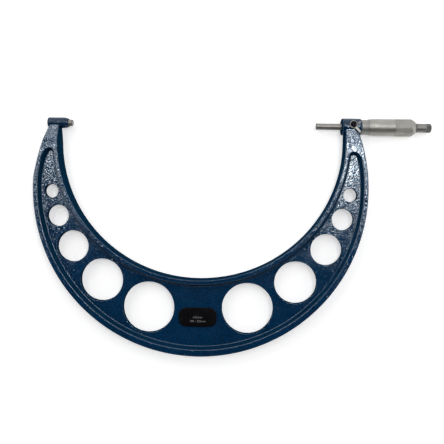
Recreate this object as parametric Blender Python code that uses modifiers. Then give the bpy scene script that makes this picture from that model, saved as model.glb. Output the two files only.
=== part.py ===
"""Outside micrometer for 300 to 325 mm, lying on its back, closed on its lowest reading.

Metres, +Z up. The origin is the centre of the anvil's measuring face, +X runs along the measuring
axis towards the ratchet, and the cast bow hangs towards -Y. The spindle, thimble, ratchet and sleeve
turn about the X axis, and the spindle lock turns about its own pin, which is parallel to Z.
"""
import math

import bmesh
import bpy
from mathutils import Matrix, Vector
from mathutils.geometry import interpolate_bezier

MM = 0.001

# Clearances
SEAT_GAP = 0.3 * MM
BRAZE_GAP = 0.1 * MM
FIT_GAP = 0.3 * MM
CUT_MARGIN = 2.0 * MM

# Measuring range, and where the head stands along the measuring axis
SHORTEST_READING = 300.0 * MM
TRAVEL = 25.0 * MM
SPINDLE_STICK_OUT = 31.5 * MM
HEAD_BOSS_START = SHORTEST_READING + SPINDLE_STICK_OUT
HEAD_BOSS_LENGTH = 23.7 * MM

# Cast frame: a bow between an outer circle and an inner half ellipse
THROAT_BEHIND_ANVIL = 14.7 * MM
HEAD_BOSS_OVERHANG = 3.2 * MM
THROAT_HALF_WIDTH = (HEAD_BOSS_START + HEAD_BOSS_OVERHANG + THROAT_BEHIND_ANVIL) / 2
FRAME_CENTRE_X = THROAT_HALF_WIDTH - THROAT_BEHIND_ANVIL
FRAME_THICKNESS = 22.0 * MM
ARM_WIDTH = 30.1 * MM
OUTER_RADIUS = THROAT_HALF_WIDTH + ARM_WIDTH
THROAT_DEPTH = 170.1 * MM
THROAT_CENTRE_Y = -20.0 * MM
THROAT_LEAN = 0.01
BOTTOM_WIDTH = 93.8 * MM
OUTER_BOTTOM_Y = THROAT_CENTRE_Y - THROAT_DEPTH - BOTTOM_WIDTH
OUTER_CENTRE_Y = OUTER_BOTTOM_Y + OUTER_RADIUS
ARM_TOP_Y = -3.0 * MM
ANVIL_ARM_DRAW_IN = 3.0 * MM
DRAW_IN_LENGTH = 65.0 * MM
MOULD_DRAFT = 0.5 * MM
EDGE_ROUND = 1.2 * MM
ANVIL_NECK_SLOPE = 14.0 * MM
HEAD_NECK_SLOPE = 10.0 * MM
OUTER_SEGMENTS = 56
INNER_SEGMENTS = 36

# Pockets that leave an I section with a web and two rims
WEB_THICKNESS = 7.0 * MM
OUTER_RIM = 6.0 * MM
OUTER_RIM_AT_BASE = 8.6 * MM
INNER_RIM = 5.4 * MM
INNER_RIM_AT_BASE = 5.8 * MM
POCKET_DRAFT = 3.0 * MM
POCKET_OUTER_TOP_Y = -46.0 * MM
POCKET_INNER_TOP_Y = -38.5 * MM
POCKET_OUTER_HANDLE = 18.0 * MM
POCKET_INNER_HANDLE = 9.0 * MM
POCKET_END_SEGMENTS = 8

# Lightening holes, each as wide as the web lets it be, from the arms down to the range plate
HOLE_CENTRE_Y = OUTER_CENTRE_Y + 30.9 * MM
HOLE_INNER_MARGIN = 3.6 * MM
HOLE_OUTER_MARGIN = 3.8 * MM
HOLE_WEB = 9.5 * MM
HOLE_STEP = math.radians(0.1)
FIRST_HOLE_ANGLE = math.radians(11.1)
PLATE_MARGIN = 3.5 * MM
HOLE_FACETS = 36

# Anvil and its boss
ANVIL_RADIUS = 4.0 * MM
ANVIL_TIP_LENGTH = 1.0 * MM
ANVIL_CHAMFER = 0.4 * MM
ANVIL_STICK_OUT = 4.6 * MM
ANVIL_BOSS_RADIUS = 6.6 * MM
ANVIL_BOSS_LENGTH = 25.0 * MM
ANVIL_BOSS_NOSE = 3.6 * MM
ANVIL_SEAT_DEPTH = 21.4 * MM

# Head boss and what it holds
HEAD_BOSS_RADIUS = 10.6 * MM
BOSS_ROUND = 1.6 * MM
FRONT_WALL = 5.3 * MM
LOCK_BUSH_LENGTH = 12.3 * MM
LOCK_BUSH_WALL = 2.3 * MM
LOCK_BUSH_SLIT = 1.0 * MM

# Thimble
SLEEVE_SHOWING = 9.5 * MM
THIMBLE_START = HEAD_BOSS_START + HEAD_BOSS_LENGTH + SLEEVE_SHOWING
THIMBLE_LENGTH = 58.3 * MM
THIMBLE_RADIUS = 10.5 * MM
THIMBLE_LIP = 0.3 * MM
BEVEL_LENGTH = 13.0 * MM
KNURL_START = 32.0 * MM
KNURL_LENGTH = 19.0 * MM
KNURL_RADIUS = 10.8 * MM
KNURL_DEPTH = 0.35 * MM
KNURL_ROWS = 13
THIMBLE_END_RADIUS = 5.6 * MM
THIMBLE_BORE_DEPTH = 37.3 * MM
THIMBLE_BORE_END = THIMBLE_START + THIMBLE_BORE_DEPTH
THIMBLE_FACETS = 40

# Inner sleeve with its slit nut end, and the adjusting nut
INNER_SLEEVE_RADIUS = 7.0 * MM
INNER_SLEEVE_END = THIMBLE_BORE_END - 3.0 * MM
SPINDLE_GUIDE_LENGTH = 10.0 * MM
RELIEF_RADIUS = 5.4 * MM
NUT_END_LENGTH = 13.0 * MM
NUT_END_RADIUS = 6.8 * MM
NUT_SLITS = 3
NUT_SLIT_WIDTH = 0.8 * MM
ADJUSTING_NUT_LENGTH = 5.8 * MM
ADJUSTING_NUT_RADIUS = 9.0 * MM
ADJUSTING_NUT_SET_BACK = 0.6 * MM
NUT_NOTCHES = 4
NUT_NOTCH_WIDTH = 1.8 * MM
NUT_NOTCH_DEPTH = 0.9 * MM

# Spindle
SPINDLE_RADIUS = 4.0 * MM
SPINDLE_TIP_LENGTH = 1.0 * MM
THREAD_RADIUS = 4.2 * MM
THREAD_START = INNER_SLEEVE_END - NUT_END_LENGTH - TRAVEL
THREAD_END = INNER_SLEEVE_END + 1.0 * MM
NECK_RADIUS = 3.5 * MM
TAPER_START = THIMBLE_BORE_END + 1.5 * MM
TAPER_LENGTH = 9.5 * MM
TAPER_BIG_RADIUS = 5.0 * MM
TAPER_SMALL_RADIUS = 4.15 * MM
STUD_HOLE_DEPTH = 8.0 * MM

# Graduated sleeve
SLEEVE_RADIUS = 9.2 * MM
SLEEVE_LENGTH = 36.3 * MM
SPANNER_HOLE_RADIUS = 0.8 * MM
SPANNER_HOLE_DEPTH = 1.2 * MM
SPANNER_HOLE_FROM_END = 4.0 * MM

# Ratchet stop
STUD_RADIUS = 1.8 * MM
STEM_RADIUS = 2.3 * MM
RATCHET_FLANGE_RADIUS = 4.6 * MM
RATCHET_FLANGE_THICKNESS = 2.1 * MM
RATCHET_TEETH = 12
RATCHET_TOOTH_HEIGHT = 0.7 * MM
RATCHET_GENTLE_SHARE = 0.79
RATCHET_SHANK_RADIUS = 1.9 * MM
CROWN_BORE_RADIUS = 2.3 * MM
CROWN_THICKNESS = 3.6 * MM
KNOB_GAP = 0.6 * MM
KNOB_LENGTH = 17.9 * MM
KNOB_RADIUS = 5.55 * MM
KNOB_BORE_RADIUS = 4.9 * MM
KNOB_BAND_LENGTH = 5.0 * MM
KNOB_GROOVE = 0.9 * MM
KNOB_GROOVE_DEPTH = 0.4 * MM
KNOB_RIB_DEPTH = 0.25 * MM
KNOB_END_WALL = 1.4 * MM
KNOB_RECESS_DEPTH = 3.1 * MM
KNOB_RECESS_RADIUS = 3.0 * MM
KNOB_FACETS = 40
KEY_WIDTH = 1.4 * MM
KEY_DEPTH = 0.9 * MM
KEYS = 2
SPRING_WIRE_RADIUS = 0.3 * MM
SPRING_RADIUS = 3.2 * MM
SPRING_TURNS = 4
SPRING_POINTS_PER_TURN = 10
RATCHET_SCREW_HEAD_RADIUS = 2.6 * MM
RATCHET_SCREW_HEAD = 1.8 * MM
RATCHET_SCREW_SHANK_RADIUS = 1.0 * MM
RATCHET_SCREW_SHANK = 6.0 * MM
SLOT_WIDTH = 0.7 * MM
SLOT_DEPTH = 0.8 * MM

# Spindle lock
LOCK_X = HEAD_BOSS_START + 12.5 * MM
LOCK_Y = 1.6 * MM
LOCK_PAD_RADIUS = 4.6 * MM
LOCK_PAD_TOP = 11.1 * MM
LOCK_PIN_RADIUS = 2.0 * MM
LOCK_WASHER_THICKNESS = 0.4 * MM
LOCK_WASHER_RADIUS = 4.2 * MM
LOCK_EYE_RADIUS = 4.6 * MM
LOCK_LEVER_THICKNESS = 1.6 * MM
LOCK_LEVER_REACH = 13.0 * MM
LOCK_LEVER_WIDTH = 2.6 * MM
LOCK_LEVER_ANGLE = math.radians(-49)
LOCK_SCREW_HEAD_RADIUS = 2.6 * MM
LOCK_SCREW_HEAD = 1.2 * MM
LOCK_SCREW_SHANK_RADIUS = 0.9 * MM
LOCK_SCREW_SHANK = 4.0 * MM

# Set screw that holds the inner sleeve in the boss
SET_SCREW_X = HEAD_BOSS_START + 20.3 * MM
SET_SCREW_Y = 4.5 * MM
SET_SCREW_RADIUS = 1.9 * MM
SET_SCREW_LENGTH = 3.0 * MM

# Range plate on the web
PLATE_WIDTH = 46.5 * MM
PLATE_HEIGHT = 23.6 * MM
PLATE_THICKNESS = 1.0 * MM
PLATE_CORNER = 9.5 * MM
PLATE_CENTRE_Y = OUTER_BOTTOM_Y + BOTTOM_WIDTH / 2 + 0.5 * MM
PLATE_CORNER_SEGMENTS = 6

FACETS = 36
SMALL_FACETS = 20
FULL_TURN = 2 * math.pi
MERGE_DISTANCE = 0.001 * MM
SHARP_ANGLE = math.radians(35)

ENAMEL = ("blue_hammer_enamel", (0.010, 0.045, 0.085), 0.32, 0.2)
SATIN_STEEL = ("satin_chrome", (0.62, 0.61, 0.58), 0.34, 1.0)
GROUND_STEEL = ("ground_steel", (0.50, 0.48, 0.45), 0.25, 1.0)
CARBIDE = ("carbide", (0.30, 0.30, 0.31), 0.2, 1.0)
BLACK_STEEL = ("black_oxide", (0.03, 0.03, 0.035), 0.4, 0.8)
BLACK_PLATE = ("black_plate", (0.008, 0.008, 0.010), 0.35, 0.0)
BRONZE = ("bronze", (0.45, 0.28, 0.12), 0.4, 1.0)


def clear_scene():
    """Remove every object, so the model stands alone."""
    for obj in list(bpy.data.objects):
        bpy.data.objects.remove(obj, do_unlink=True)


def new_collection(name):
    collection = bpy.data.collections.new(name)
    bpy.context.scene.collection.children.link(collection)
    return collection


def material(finish):
    """The Principled material of a named finish, made once."""
    name, colour, roughness, metallic = finish
    found = bpy.data.materials.get(name)
    if found:
        return found
    made = bpy.data.materials.new(name)
    made.use_nodes = True
    shader = made.node_tree.nodes["Principled BSDF"]
    shader.inputs["Base Color"].default_value = (*colour, 1.0)
    shader.inputs["Roughness"].default_value = roughness
    shader.inputs["Metallic"].default_value = metallic
    made.diffuse_color = (*colour, 1.0)
    return made


def add_object(name, bm, finish=None, location=(0, 0, 0)):
    """Turn a bmesh in world coordinates into an object whose origin is at the location."""
    bmesh.ops.recalc_face_normals(bm, faces=bm.faces)
    bm.transform(Matrix.Translation(-Vector(location)))
    mesh = bpy.data.meshes.new(name)
    bm.to_mesh(mesh)
    bm.free()
    mesh.shade_smooth()
    mesh.set_sharp_from_angle(angle=SHARP_ANGLE)
    obj = bpy.data.objects.new(name, mesh)
    obj.location = location
    if finish:
        mesh.materials.append(material(finish))
        PARTS.objects.link(obj)
    else:
        obj.hide_render = True
        obj.display_type = "WIRE"
        CUTTERS.objects.link(obj)
    return obj


def combine(target, tool, operation):
    """Cut a tool out of a part, or join it to the part."""
    modifier = target.modifiers.new(f"{operation.lower()}_{tool.name}", "BOOLEAN")
    modifier.operation = operation
    modifier.solver = "EXACT"
    modifier.object = tool


def cut(target, tool):
    combine(target, tool, "DIFFERENCE")


def join(target, tool):
    combine(target, tool, "UNION")


def evaluated_bmesh(obj):
    """Turn an object into a bmesh of what its modifiers or its curve make, and remove the object."""
    bpy.context.scene.collection.objects.link(obj)
    depsgraph = bpy.context.evaluated_depsgraph_get()
    mesh = bpy.data.meshes.new_from_object(obj.evaluated_get(depsgraph))
    bm = bmesh.new()
    bm.from_mesh(mesh)
    bm.transform(obj.matrix_world)
    bpy.data.meshes.remove(mesh)
    bpy.data.objects.remove(obj)
    bmesh.ops.remove_doubles(bm, verts=bm.verts, dist=MERGE_DISTANCE)
    return bm


def turned_mesh(profile, steps):
    """Screw a profile of (x, radius) points about the X axis. One that starts off the axis is a ring."""
    count = len(profile)
    edges = [(i, i + 1) for i in range(count - 1)]
    if profile[0][1] > 0:
        edges.append((count - 1, 0))
    mesh = bpy.data.meshes.new("profile")
    mesh.from_pydata([(x, 0, radius) for x, radius in profile], edges, [])
    obj = bpy.data.objects.new("profile", mesh)
    screw = obj.modifiers.new("turn", "SCREW")
    screw.axis = "X"
    screw.angle = FULL_TURN
    screw.steps = steps
    screw.render_steps = steps
    screw.use_merge_vertices = True
    screw.merge_threshold = MERGE_DISTANCE
    return evaluated_bmesh(obj)


def flat_mesh(outline, low, high):
    """A flat piece between two heights, made as a filled 2D curve with an extrude."""
    curve = bpy.data.curves.new("outline", "CURVE")
    curve.dimensions = "2D"
    curve.fill_mode = "BOTH"
    curve.extrude = (high - low) / 2
    spline = curve.splines.new("POLY")
    spline.points.add(len(outline) - 1)
    for point, (x, y) in zip(spline.points, outline):
        point.co = (x, y, 0, 1)
    spline.use_cyclic_u = True
    bm = evaluated_bmesh(bpy.data.objects.new("outline", curve))
    bm.transform(Matrix.Translation((0, 0, (low + high) / 2)))
    return bm


def turned(name, profile, finish=None, steps=FACETS):
    """A turned piece or cutter, with its origin on the measuring axis at its front end."""
    return add_object(name, turned_mesh(profile, steps), finish, (profile[0][0], 0, 0))


def add_cylinder(bm, radius, low, high, facets):
    """Add a closed cylinder that stands upright between two points, one above the other."""
    low, high = Vector(low), Vector(high)
    bmesh.ops.create_cone(
        bm,
        cap_ends=True,
        segments=facets,
        radius1=radius,
        radius2=radius,
        depth=(high - low).length,
        matrix=Matrix.Translation((low + high) / 2),
    )


def add_box(bm, low, high, turn=Matrix.Identity(4)):
    """Add a closed box between two corners, turned afterwards about the world's origin."""
    low, high = Vector(low), Vector(high)
    size = Matrix.Diagonal((*(high - low), 1))
    bmesh.ops.create_cube(bm, size=1, matrix=turn @ Matrix.Translation((low + high) / 2) @ size)


def loft(sections):
    """Join sections of equal length by quads, and close both ends."""
    bm = bmesh.new()
    rings = [[bm.verts.new(point) for point in section] for section in sections]
    for lower, upper in zip(rings, rings[1:]):
        for i in range(len(lower)):
            bm.faces.new((lower[i - 1], lower[i], upper[i], upper[i - 1]))
    bm.faces.new(rings[0])
    bm.faces.new(rings[-1])
    return bm


def at_height(outline, z):
    return [Vector((x, y, z)) for x, y in outline]


def draw_in(point):
    """Slim the anvil's arm towards its small boss, more at the outer edge than at the throat."""
    x, y = point
    from_throat = (FRAME_CENTRE_X - THROAT_HALF_WIDTH) - x
    share = max(0.0, from_throat / (OUTER_RADIUS - THROAT_HALF_WIDTH))
    fade = max(0.0, 1 - (ARM_TOP_Y - y) / DRAW_IN_LENGTH)
    return (x + 2 * ANVIL_ARM_DRAW_IN * share * fade, y)


def lean(point):
    """Move a point of the throat's side towards the anvil, the further the deeper it lies."""
    x, y = point
    return (x + THROAT_LEAN * min(0.0, y - POCKET_OUTER_TOP_Y), y)


def frame_outline(inset):
    """The bow's outline, drawn in by an inset: the outer edge from anvil to head, then the throat."""
    radius = OUTER_RADIUS - inset
    top_angle = math.asin((ARM_TOP_Y - OUTER_CENTRE_Y) / radius)
    start = math.pi - top_angle
    sweep = math.pi + 2 * top_angle
    points = []
    for i in range(OUTER_SEGMENTS + 1):
        angle = start + sweep * i / OUTER_SEGMENTS
        x = FRAME_CENTRE_X + radius * math.cos(angle)
        y = OUTER_CENTRE_Y + radius * math.sin(angle)
        points.append((x, y))
    half_width = THROAT_HALF_WIDTH + inset
    depth = THROAT_DEPTH + inset
    points.append((FRAME_CENTRE_X + half_width, ARM_TOP_Y))
    for i in range(INNER_SEGMENTS + 1):
        angle = -math.pi * i / INNER_SEGMENTS
        x = FRAME_CENTRE_X + half_width * math.cos(angle)
        y = THROAT_CENTRE_Y + depth * math.sin(angle)
        points.append(lean((x, y)))
    points.append((FRAME_CENTRE_X - half_width, ARM_TOP_Y))
    return [draw_in(point) for point in points]


def pocket_end(side, radius, centre_y, half_width, depth, inset):
    """The rounded upper end of a pocket, as a curve from its outer edge to its inner edge."""
    outer_angle = math.asin((POCKET_OUTER_TOP_Y - centre_y) / radius)
    inner_angle = math.asin((POCKET_INNER_TOP_Y - THROAT_CENTRE_Y) / depth)
    outer = Vector((radius * math.cos(outer_angle), POCKET_OUTER_TOP_Y, 0))
    inner = Vector((half_width * math.cos(inner_angle), POCKET_INNER_TOP_Y, 0))
    outer_way = Vector((-math.sin(outer_angle), math.cos(outer_angle), 0))
    inner_way = Vector((-half_width * math.sin(inner_angle), depth * math.cos(inner_angle), 0))
    curve = interpolate_bezier(
        outer,
        outer + outer_way * (POCKET_OUTER_HANDLE - inset),
        inner + inner_way.normalized() * (POCKET_INNER_HANDLE - inset),
        inner,
        POCKET_END_SEGMENTS + 1,
    )
    return outer_angle, inner_angle, [(FRAME_CENTRE_X + side * p.x, p.y) for p in curve]


def pocket_outline(inset):
    """The edge of a pocket, drawn in by an inset to follow the sloping wall down to the web."""
    radius = OUTER_RADIUS - OUTER_RIM - inset
    centre_y = OUTER_CENTRE_Y + OUTER_RIM_AT_BASE - OUTER_RIM
    half_width = THROAT_HALF_WIDTH + INNER_RIM + inset
    depth = THROAT_DEPTH + INNER_RIM_AT_BASE + inset
    sizes = (radius, centre_y, half_width, depth, inset)
    outer_angle, inner_angle, head_end = pocket_end(1, *sizes)
    anvil_end = pocket_end(-1, *sizes)[2]
    points = []
    for i in range(1, OUTER_SEGMENTS):
        angle = math.pi - outer_angle + (math.pi + 2 * outer_angle) * i / OUTER_SEGMENTS
        x = FRAME_CENTRE_X + radius * math.cos(angle)
        points.append((x, centre_y + radius * math.sin(angle)))
    points += head_end
    for i in range(1, INNER_SEGMENTS):
        angle = inner_angle - (math.pi + 2 * inner_angle) * i / INNER_SEGMENTS
        x = FRAME_CENTRE_X + half_width * math.cos(angle)
        points.append(lean((x, THROAT_CENTRE_Y + depth * math.sin(angle))))
    points += reversed(anvil_end)
    return [draw_in(point) for point in points]


def reach(angle, centre_y, half_width, depth):
    """How far an ellipse on the bow's middle lies from the holes' centre, down at an angle."""
    above = HOLE_CENTRE_Y - centre_y
    across, down = math.cos(angle) / half_width, math.sin(angle) / depth
    square = across**2 + down**2
    linear = above / depth * down
    constant = (above / depth) ** 2 - 1
    return (linear + math.sqrt(linear**2 - square * constant)) / square


def hole_at(angle):
    """Distance and radius of the hole that the web's floor has room for at an angle."""
    half_width = THROAT_HALF_WIDTH + INNER_RIM + POCKET_DRAFT
    depth = THROAT_DEPTH + INNER_RIM_AT_BASE + POCKET_DRAFT
    radius = OUTER_RADIUS - OUTER_RIM - POCKET_DRAFT
    centre_y = OUTER_CENTRE_Y + OUTER_RIM_AT_BASE - OUTER_RIM
    low = reach(angle, THROAT_CENTRE_Y, half_width, depth) + HOLE_INNER_MARGIN
    high = reach(angle, centre_y, radius, radius) - HOLE_OUTER_MARGIN
    return (low + high) / 2, (high - low) / 2


def hole_places():
    """Centre and radius of each lightening hole, with one width of web between neighbours."""
    places = []
    angle = FIRST_HOLE_ANGLE
    previous = None
    while angle < math.pi / 2:
        distance, radius = hole_at(angle)
        across, down = distance * math.cos(angle), distance * math.sin(angle)
        if across - radius < PLATE_WIDTH / 2 + PLATE_MARGIN:
            break
        if previous and math.dist(previous[:2], (across, down)) < previous[2] + radius + HOLE_WEB:
            angle += HOLE_STEP
            continue
        previous = (across, down, radius)
        for side in (-1, 1):
            centre = lean((FRAME_CENTRE_X + side * across, HOLE_CENTRE_Y - down))
            places.append((*centre, radius))
    return places


def bow_casting():
    """The solid bow, with mould draft from its middle and rounded rim edges."""
    half = FRAME_THICKNESS / 2
    levels = (
        (-half, MOULD_DRAFT + EDGE_ROUND),
        (-half + EDGE_ROUND, MOULD_DRAFT),
        (0, 0),
        (half - EDGE_ROUND, MOULD_DRAFT),
        (half, MOULD_DRAFT + EDGE_ROUND),
    )
    bm = loft([at_height(frame_outline(inset), z) for z, inset in levels])
    return add_object("frame", bm, ENAMEL)


def rounded_boss(name, start, length, radius, nose=BOSS_ROUND):
    """A round boss along the measuring axis, with a rounded back and a nose that narrows."""
    end = start + length
    soft = BOSS_ROUND * (1 - math.sqrt(0.5))
    profile = (
        (start, 0),
        (start, radius - BOSS_ROUND),
        (start + soft, radius - soft),
        (start + BOSS_ROUND, radius),
        (end - nose, radius),
        (end - nose / 2, radius - BOSS_ROUND / 3),
        (end, radius - BOSS_ROUND),
        (end, 0),
    )
    return turned(name, profile)


def neck_relief(name, low_x, high_x, boss_radius, slope_length):
    """Two wedges that slope an arm's faces down to the roundness of its boss."""
    half = FRAME_THICKNESS / 2
    meets = math.sqrt(boss_radius**2 - ARM_TOP_Y**2) - SEAT_GAP
    slope = (half - meets) / slope_length
    bm = bmesh.new()
    for side in (-1, 1):
        section = (
            (ARM_TOP_Y - slope_length - CUT_MARGIN, half + slope * CUT_MARGIN),
            (ARM_TOP_Y + CUT_MARGIN, meets - slope * CUT_MARGIN),
            (ARM_TOP_Y + CUT_MARGIN, half + CUT_MARGIN),
            (ARM_TOP_Y - slope_length - CUT_MARGIN, half + CUT_MARGIN),
        )
        ends = [[Vector((x, y, side * z)) for y, z in section] for x in (low_x, high_x)]
        piece = loft(ends)
        bmesh.ops.recalc_face_normals(piece, faces=piece.faces)
        wedge = bpy.data.meshes.new("wedge")
        piece.to_mesh(wedge)
        piece.free()
        bm.from_mesh(wedge)
        bpy.data.meshes.remove(wedge)
    return add_object(name, bm)


def build_frame():
    """The bow with its pockets, holes, bosses, bores and lock pad."""
    frame = bow_casting()
    anvil_boss_end = -ANVIL_STICK_OUT
    anvil_boss_start = anvil_boss_end - ANVIL_BOSS_LENGTH
    throat_left = FRAME_CENTRE_X - THROAT_HALF_WIDTH
    throat_right = FRAME_CENTRE_X + THROAT_HALF_WIDTH
    outside = 2 * (OUTER_RADIUS - THROAT_HALF_WIDTH)
    cut(frame, neck_relief("anvil_neck_relief", throat_left - outside, throat_left + CUT_MARGIN,
                           ANVIL_BOSS_RADIUS, ANVIL_NECK_SLOPE))
    cut(frame, neck_relief("head_neck_relief", throat_right - CUT_MARGIN, throat_right + outside,
                           HEAD_BOSS_RADIUS, HEAD_NECK_SLOPE))
    join(frame, rounded_boss("anvil_boss", anvil_boss_start, ANVIL_BOSS_LENGTH,
                             ANVIL_BOSS_RADIUS, ANVIL_BOSS_NOSE))
    join(frame, rounded_boss("head_boss", HEAD_BOSS_START, HEAD_BOSS_LENGTH, HEAD_BOSS_RADIUS))

    pad = bmesh.new()
    add_cylinder(pad, LOCK_PAD_RADIUS, (LOCK_X, LOCK_Y, 0), (LOCK_X, LOCK_Y, LOCK_PAD_TOP), FACETS)
    join(frame, add_object("lock_pad", pad))

    half = FRAME_THICKNESS / 2
    for name, side in (("front_pocket", 1), ("back_pocket", -1)):
        face = pocket_outline(0)
        floor = at_height(pocket_outline(POCKET_DRAFT), side * WEB_THICKNESS / 2)
        levels = [floor, at_height(face, side * half), at_height(face, side * (half + CUT_MARGIN))]
        cut(frame, add_object(name, loft(levels)))

    holes = bmesh.new()
    for x, y, radius in hole_places():
        add_cylinder(holes, radius, (x, y, -WEB_THICKNESS), (x, y, WEB_THICKNESS), HOLE_FACETS)
    cut(frame, add_object("lightening_holes", holes))

    bore = ANVIL_RADIUS + FIT_GAP
    anvil_bore = ((anvil_boss_end - ANVIL_SEAT_DEPTH, 0), (anvil_boss_end - ANVIL_SEAT_DEPTH, bore),
                  (CUT_MARGIN, bore), (CUT_MARGIN, 0))
    cut(frame, turned("anvil_bore", anvil_bore))

    head_end = HEAD_BOSS_START + HEAD_BOSS_LENGTH
    guide = SPINDLE_RADIUS + FIT_GAP
    chamber = guide + LOCK_BUSH_WALL + FIT_GAP
    chamber_start = HEAD_BOSS_START + FRONT_WALL
    chamber_end = chamber_start + LOCK_BUSH_LENGTH + 2 * SEAT_GAP
    seat = INNER_SLEEVE_RADIUS + FIT_GAP
    head_bore = (
        (HEAD_BOSS_START - CUT_MARGIN, 0),
        (HEAD_BOSS_START - CUT_MARGIN, guide),
        (chamber_start, guide),
        (chamber_start, chamber),
        (chamber_end, chamber),
        (chamber_end, seat),
        (head_end + CUT_MARGIN, seat),
        (head_end + CUT_MARGIN, 0),
    )
    cut(frame, turned("head_bore", head_bore))

    shafts = bmesh.new()
    top = LOCK_PAD_TOP + CUT_MARGIN
    add_cylinder(shafts, LOCK_PIN_RADIUS + FIT_GAP, (LOCK_X, LOCK_Y, SPINDLE_RADIUS),
                 (LOCK_X, LOCK_Y, top), SMALL_FACETS)
    add_cylinder(shafts, SET_SCREW_RADIUS + FIT_GAP, (SET_SCREW_X, SET_SCREW_Y, SPINDLE_RADIUS),
                 (SET_SCREW_X, SET_SCREW_Y, top), SMALL_FACETS)
    cut(frame, add_object("lock_and_set_screw_holes", shafts))
    return frame


def build_anvil():
    """The fixed anvil, a steel pin in its boss, with a hard face brazed on."""
    back = -ANVIL_STICK_OUT - ANVIL_SEAT_DEPTH + SEAT_GAP
    front = -ANVIL_TIP_LENGTH
    profile = (
        (back, 0),
        (back, ANVIL_RADIUS - ANVIL_CHAMFER),
        (back + ANVIL_CHAMFER, ANVIL_RADIUS),
        (front - BRAZE_GAP, ANVIL_RADIUS),
        (front - BRAZE_GAP, 0),
    )
    turned("anvil", profile, GROUND_STEEL)
    tip = (
        (front, 0),
        (front, ANVIL_RADIUS),
        (-ANVIL_CHAMFER, ANVIL_RADIUS),
        (0, ANVIL_RADIUS - ANVIL_CHAMFER),
        (0, 0),
    )
    turned("anvil_face", tip, CARBIDE)


def taper_radius(x):
    share = (x - TAPER_START) / TAPER_LENGTH
    return TAPER_BIG_RADIUS + (TAPER_SMALL_RADIUS - TAPER_BIG_RADIUS) * share


def build_spindle():
    """The spindle: measuring rod, screw, neck and the taper that carries the thimble."""
    face = SHORTEST_READING
    rod_start = face + SPINDLE_TIP_LENGTH + BRAZE_GAP
    taper_end = TAPER_START + TAPER_LENGTH
    stud_hole = STUD_RADIUS + FIT_GAP
    profile = (
        (rod_start, 0),
        (rod_start, SPINDLE_RADIUS),
        (THREAD_START, SPINDLE_RADIUS),
        (THREAD_START, THREAD_RADIUS),
        (THREAD_END, THREAD_RADIUS),
        (THREAD_END, NECK_RADIUS),
        (TAPER_START, NECK_RADIUS),
        (TAPER_START, TAPER_BIG_RADIUS),
        (taper_end, TAPER_SMALL_RADIUS),
        (taper_end, stud_hole),
        (taper_end - STUD_HOLE_DEPTH, stud_hole),
        (taper_end - STUD_HOLE_DEPTH, 0),
    )
    turned("spindle", profile, GROUND_STEEL)
    tip = (
        (face, 0),
        (face, SPINDLE_RADIUS - ANVIL_CHAMFER),
        (face + ANVIL_CHAMFER, SPINDLE_RADIUS),
        (face + SPINDLE_TIP_LENGTH, SPINDLE_RADIUS),
        (face + SPINDLE_TIP_LENGTH, 0),
    )
    turned("spindle_face", tip, CARBIDE)


def build_inner_sleeve():
    """The fixed sleeve that guides the spindle and ends in the slit nut for its screw."""
    start = HEAD_BOSS_START + FRONT_WALL + LOCK_BUSH_LENGTH + 3 * SEAT_GAP
    end = INNER_SLEEVE_END
    nut_start = end - NUT_END_LENGTH
    guide = SPINDLE_RADIUS + FIT_GAP
    profile = (
        (start, guide),
        (start, INNER_SLEEVE_RADIUS),
        (nut_start, INNER_SLEEVE_RADIUS),
        (nut_start, NUT_END_RADIUS),
        (end, NUT_END_RADIUS),
        (end, THREAD_RADIUS + FIT_GAP),
        (nut_start, THREAD_RADIUS + FIT_GAP),
        (nut_start, RELIEF_RADIUS),
        (start + SPINDLE_GUIDE_LENGTH, RELIEF_RADIUS),
        (start + SPINDLE_GUIDE_LENGTH, guide),
    )
    sleeve = turned("inner_sleeve", profile, GROUND_STEEL)
    slits = bmesh.new()
    low = (nut_start + NUT_SLIT_WIDTH, -NUT_SLIT_WIDTH / 2, THREAD_RADIUS / 2)
    high = (end + CUT_MARGIN, NUT_SLIT_WIDTH / 2, NUT_END_RADIUS + CUT_MARGIN)
    for i in range(NUT_SLITS):
        add_box(slits, low, high, Matrix.Rotation(FULL_TURN * i / NUT_SLITS, 4, "X"))
    cut(sleeve, add_object("nut_slits", slits))

    nut_end = end - ADJUSTING_NUT_SET_BACK
    nut_begin = nut_end - ADJUSTING_NUT_LENGTH
    bore = NUT_END_RADIUS + FIT_GAP
    ring = (
        (nut_begin, bore),
        (nut_begin, ADJUSTING_NUT_RADIUS),
        (nut_end, ADJUSTING_NUT_RADIUS),
        (nut_end, bore),
    )
    nut = turned("adjusting_nut", ring, BRONZE)
    notches = bmesh.new()
    low = (nut_begin - CUT_MARGIN, -NUT_NOTCH_WIDTH / 2, ADJUSTING_NUT_RADIUS - NUT_NOTCH_DEPTH)
    high = (nut_end + CUT_MARGIN, NUT_NOTCH_WIDTH / 2, ADJUSTING_NUT_RADIUS + CUT_MARGIN)
    for i in range(NUT_NOTCHES):
        add_box(notches, low, high, Matrix.Rotation(FULL_TURN * i / NUT_NOTCHES, 4, "X"))
    cut(nut, add_object("nut_notches", notches))


def build_graduated_sleeve():
    """The outer sleeve, which carries the millimetre scale and turns a little to set zero."""
    start = HEAD_BOSS_START + HEAD_BOSS_LENGTH + SEAT_GAP
    end = start + SLEEVE_LENGTH
    bore = INNER_SLEEVE_RADIUS + FIT_GAP
    profile = ((start, bore), (start, SLEEVE_RADIUS), (end, SLEEVE_RADIUS), (end, bore))
    sleeve = turned("graduated_sleeve", profile, SATIN_STEEL)
    hole = bmesh.new()
    x = start + SPANNER_HOLE_FROM_END
    add_cylinder(hole, SPANNER_HOLE_RADIUS, (x, 0, -SLEEVE_RADIUS - CUT_MARGIN),
                 (x, 0, -SLEEVE_RADIUS + SPANNER_HOLE_DEPTH), SMALL_FACETS)
    cut(sleeve, add_object("spanner_hole", hole))


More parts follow.
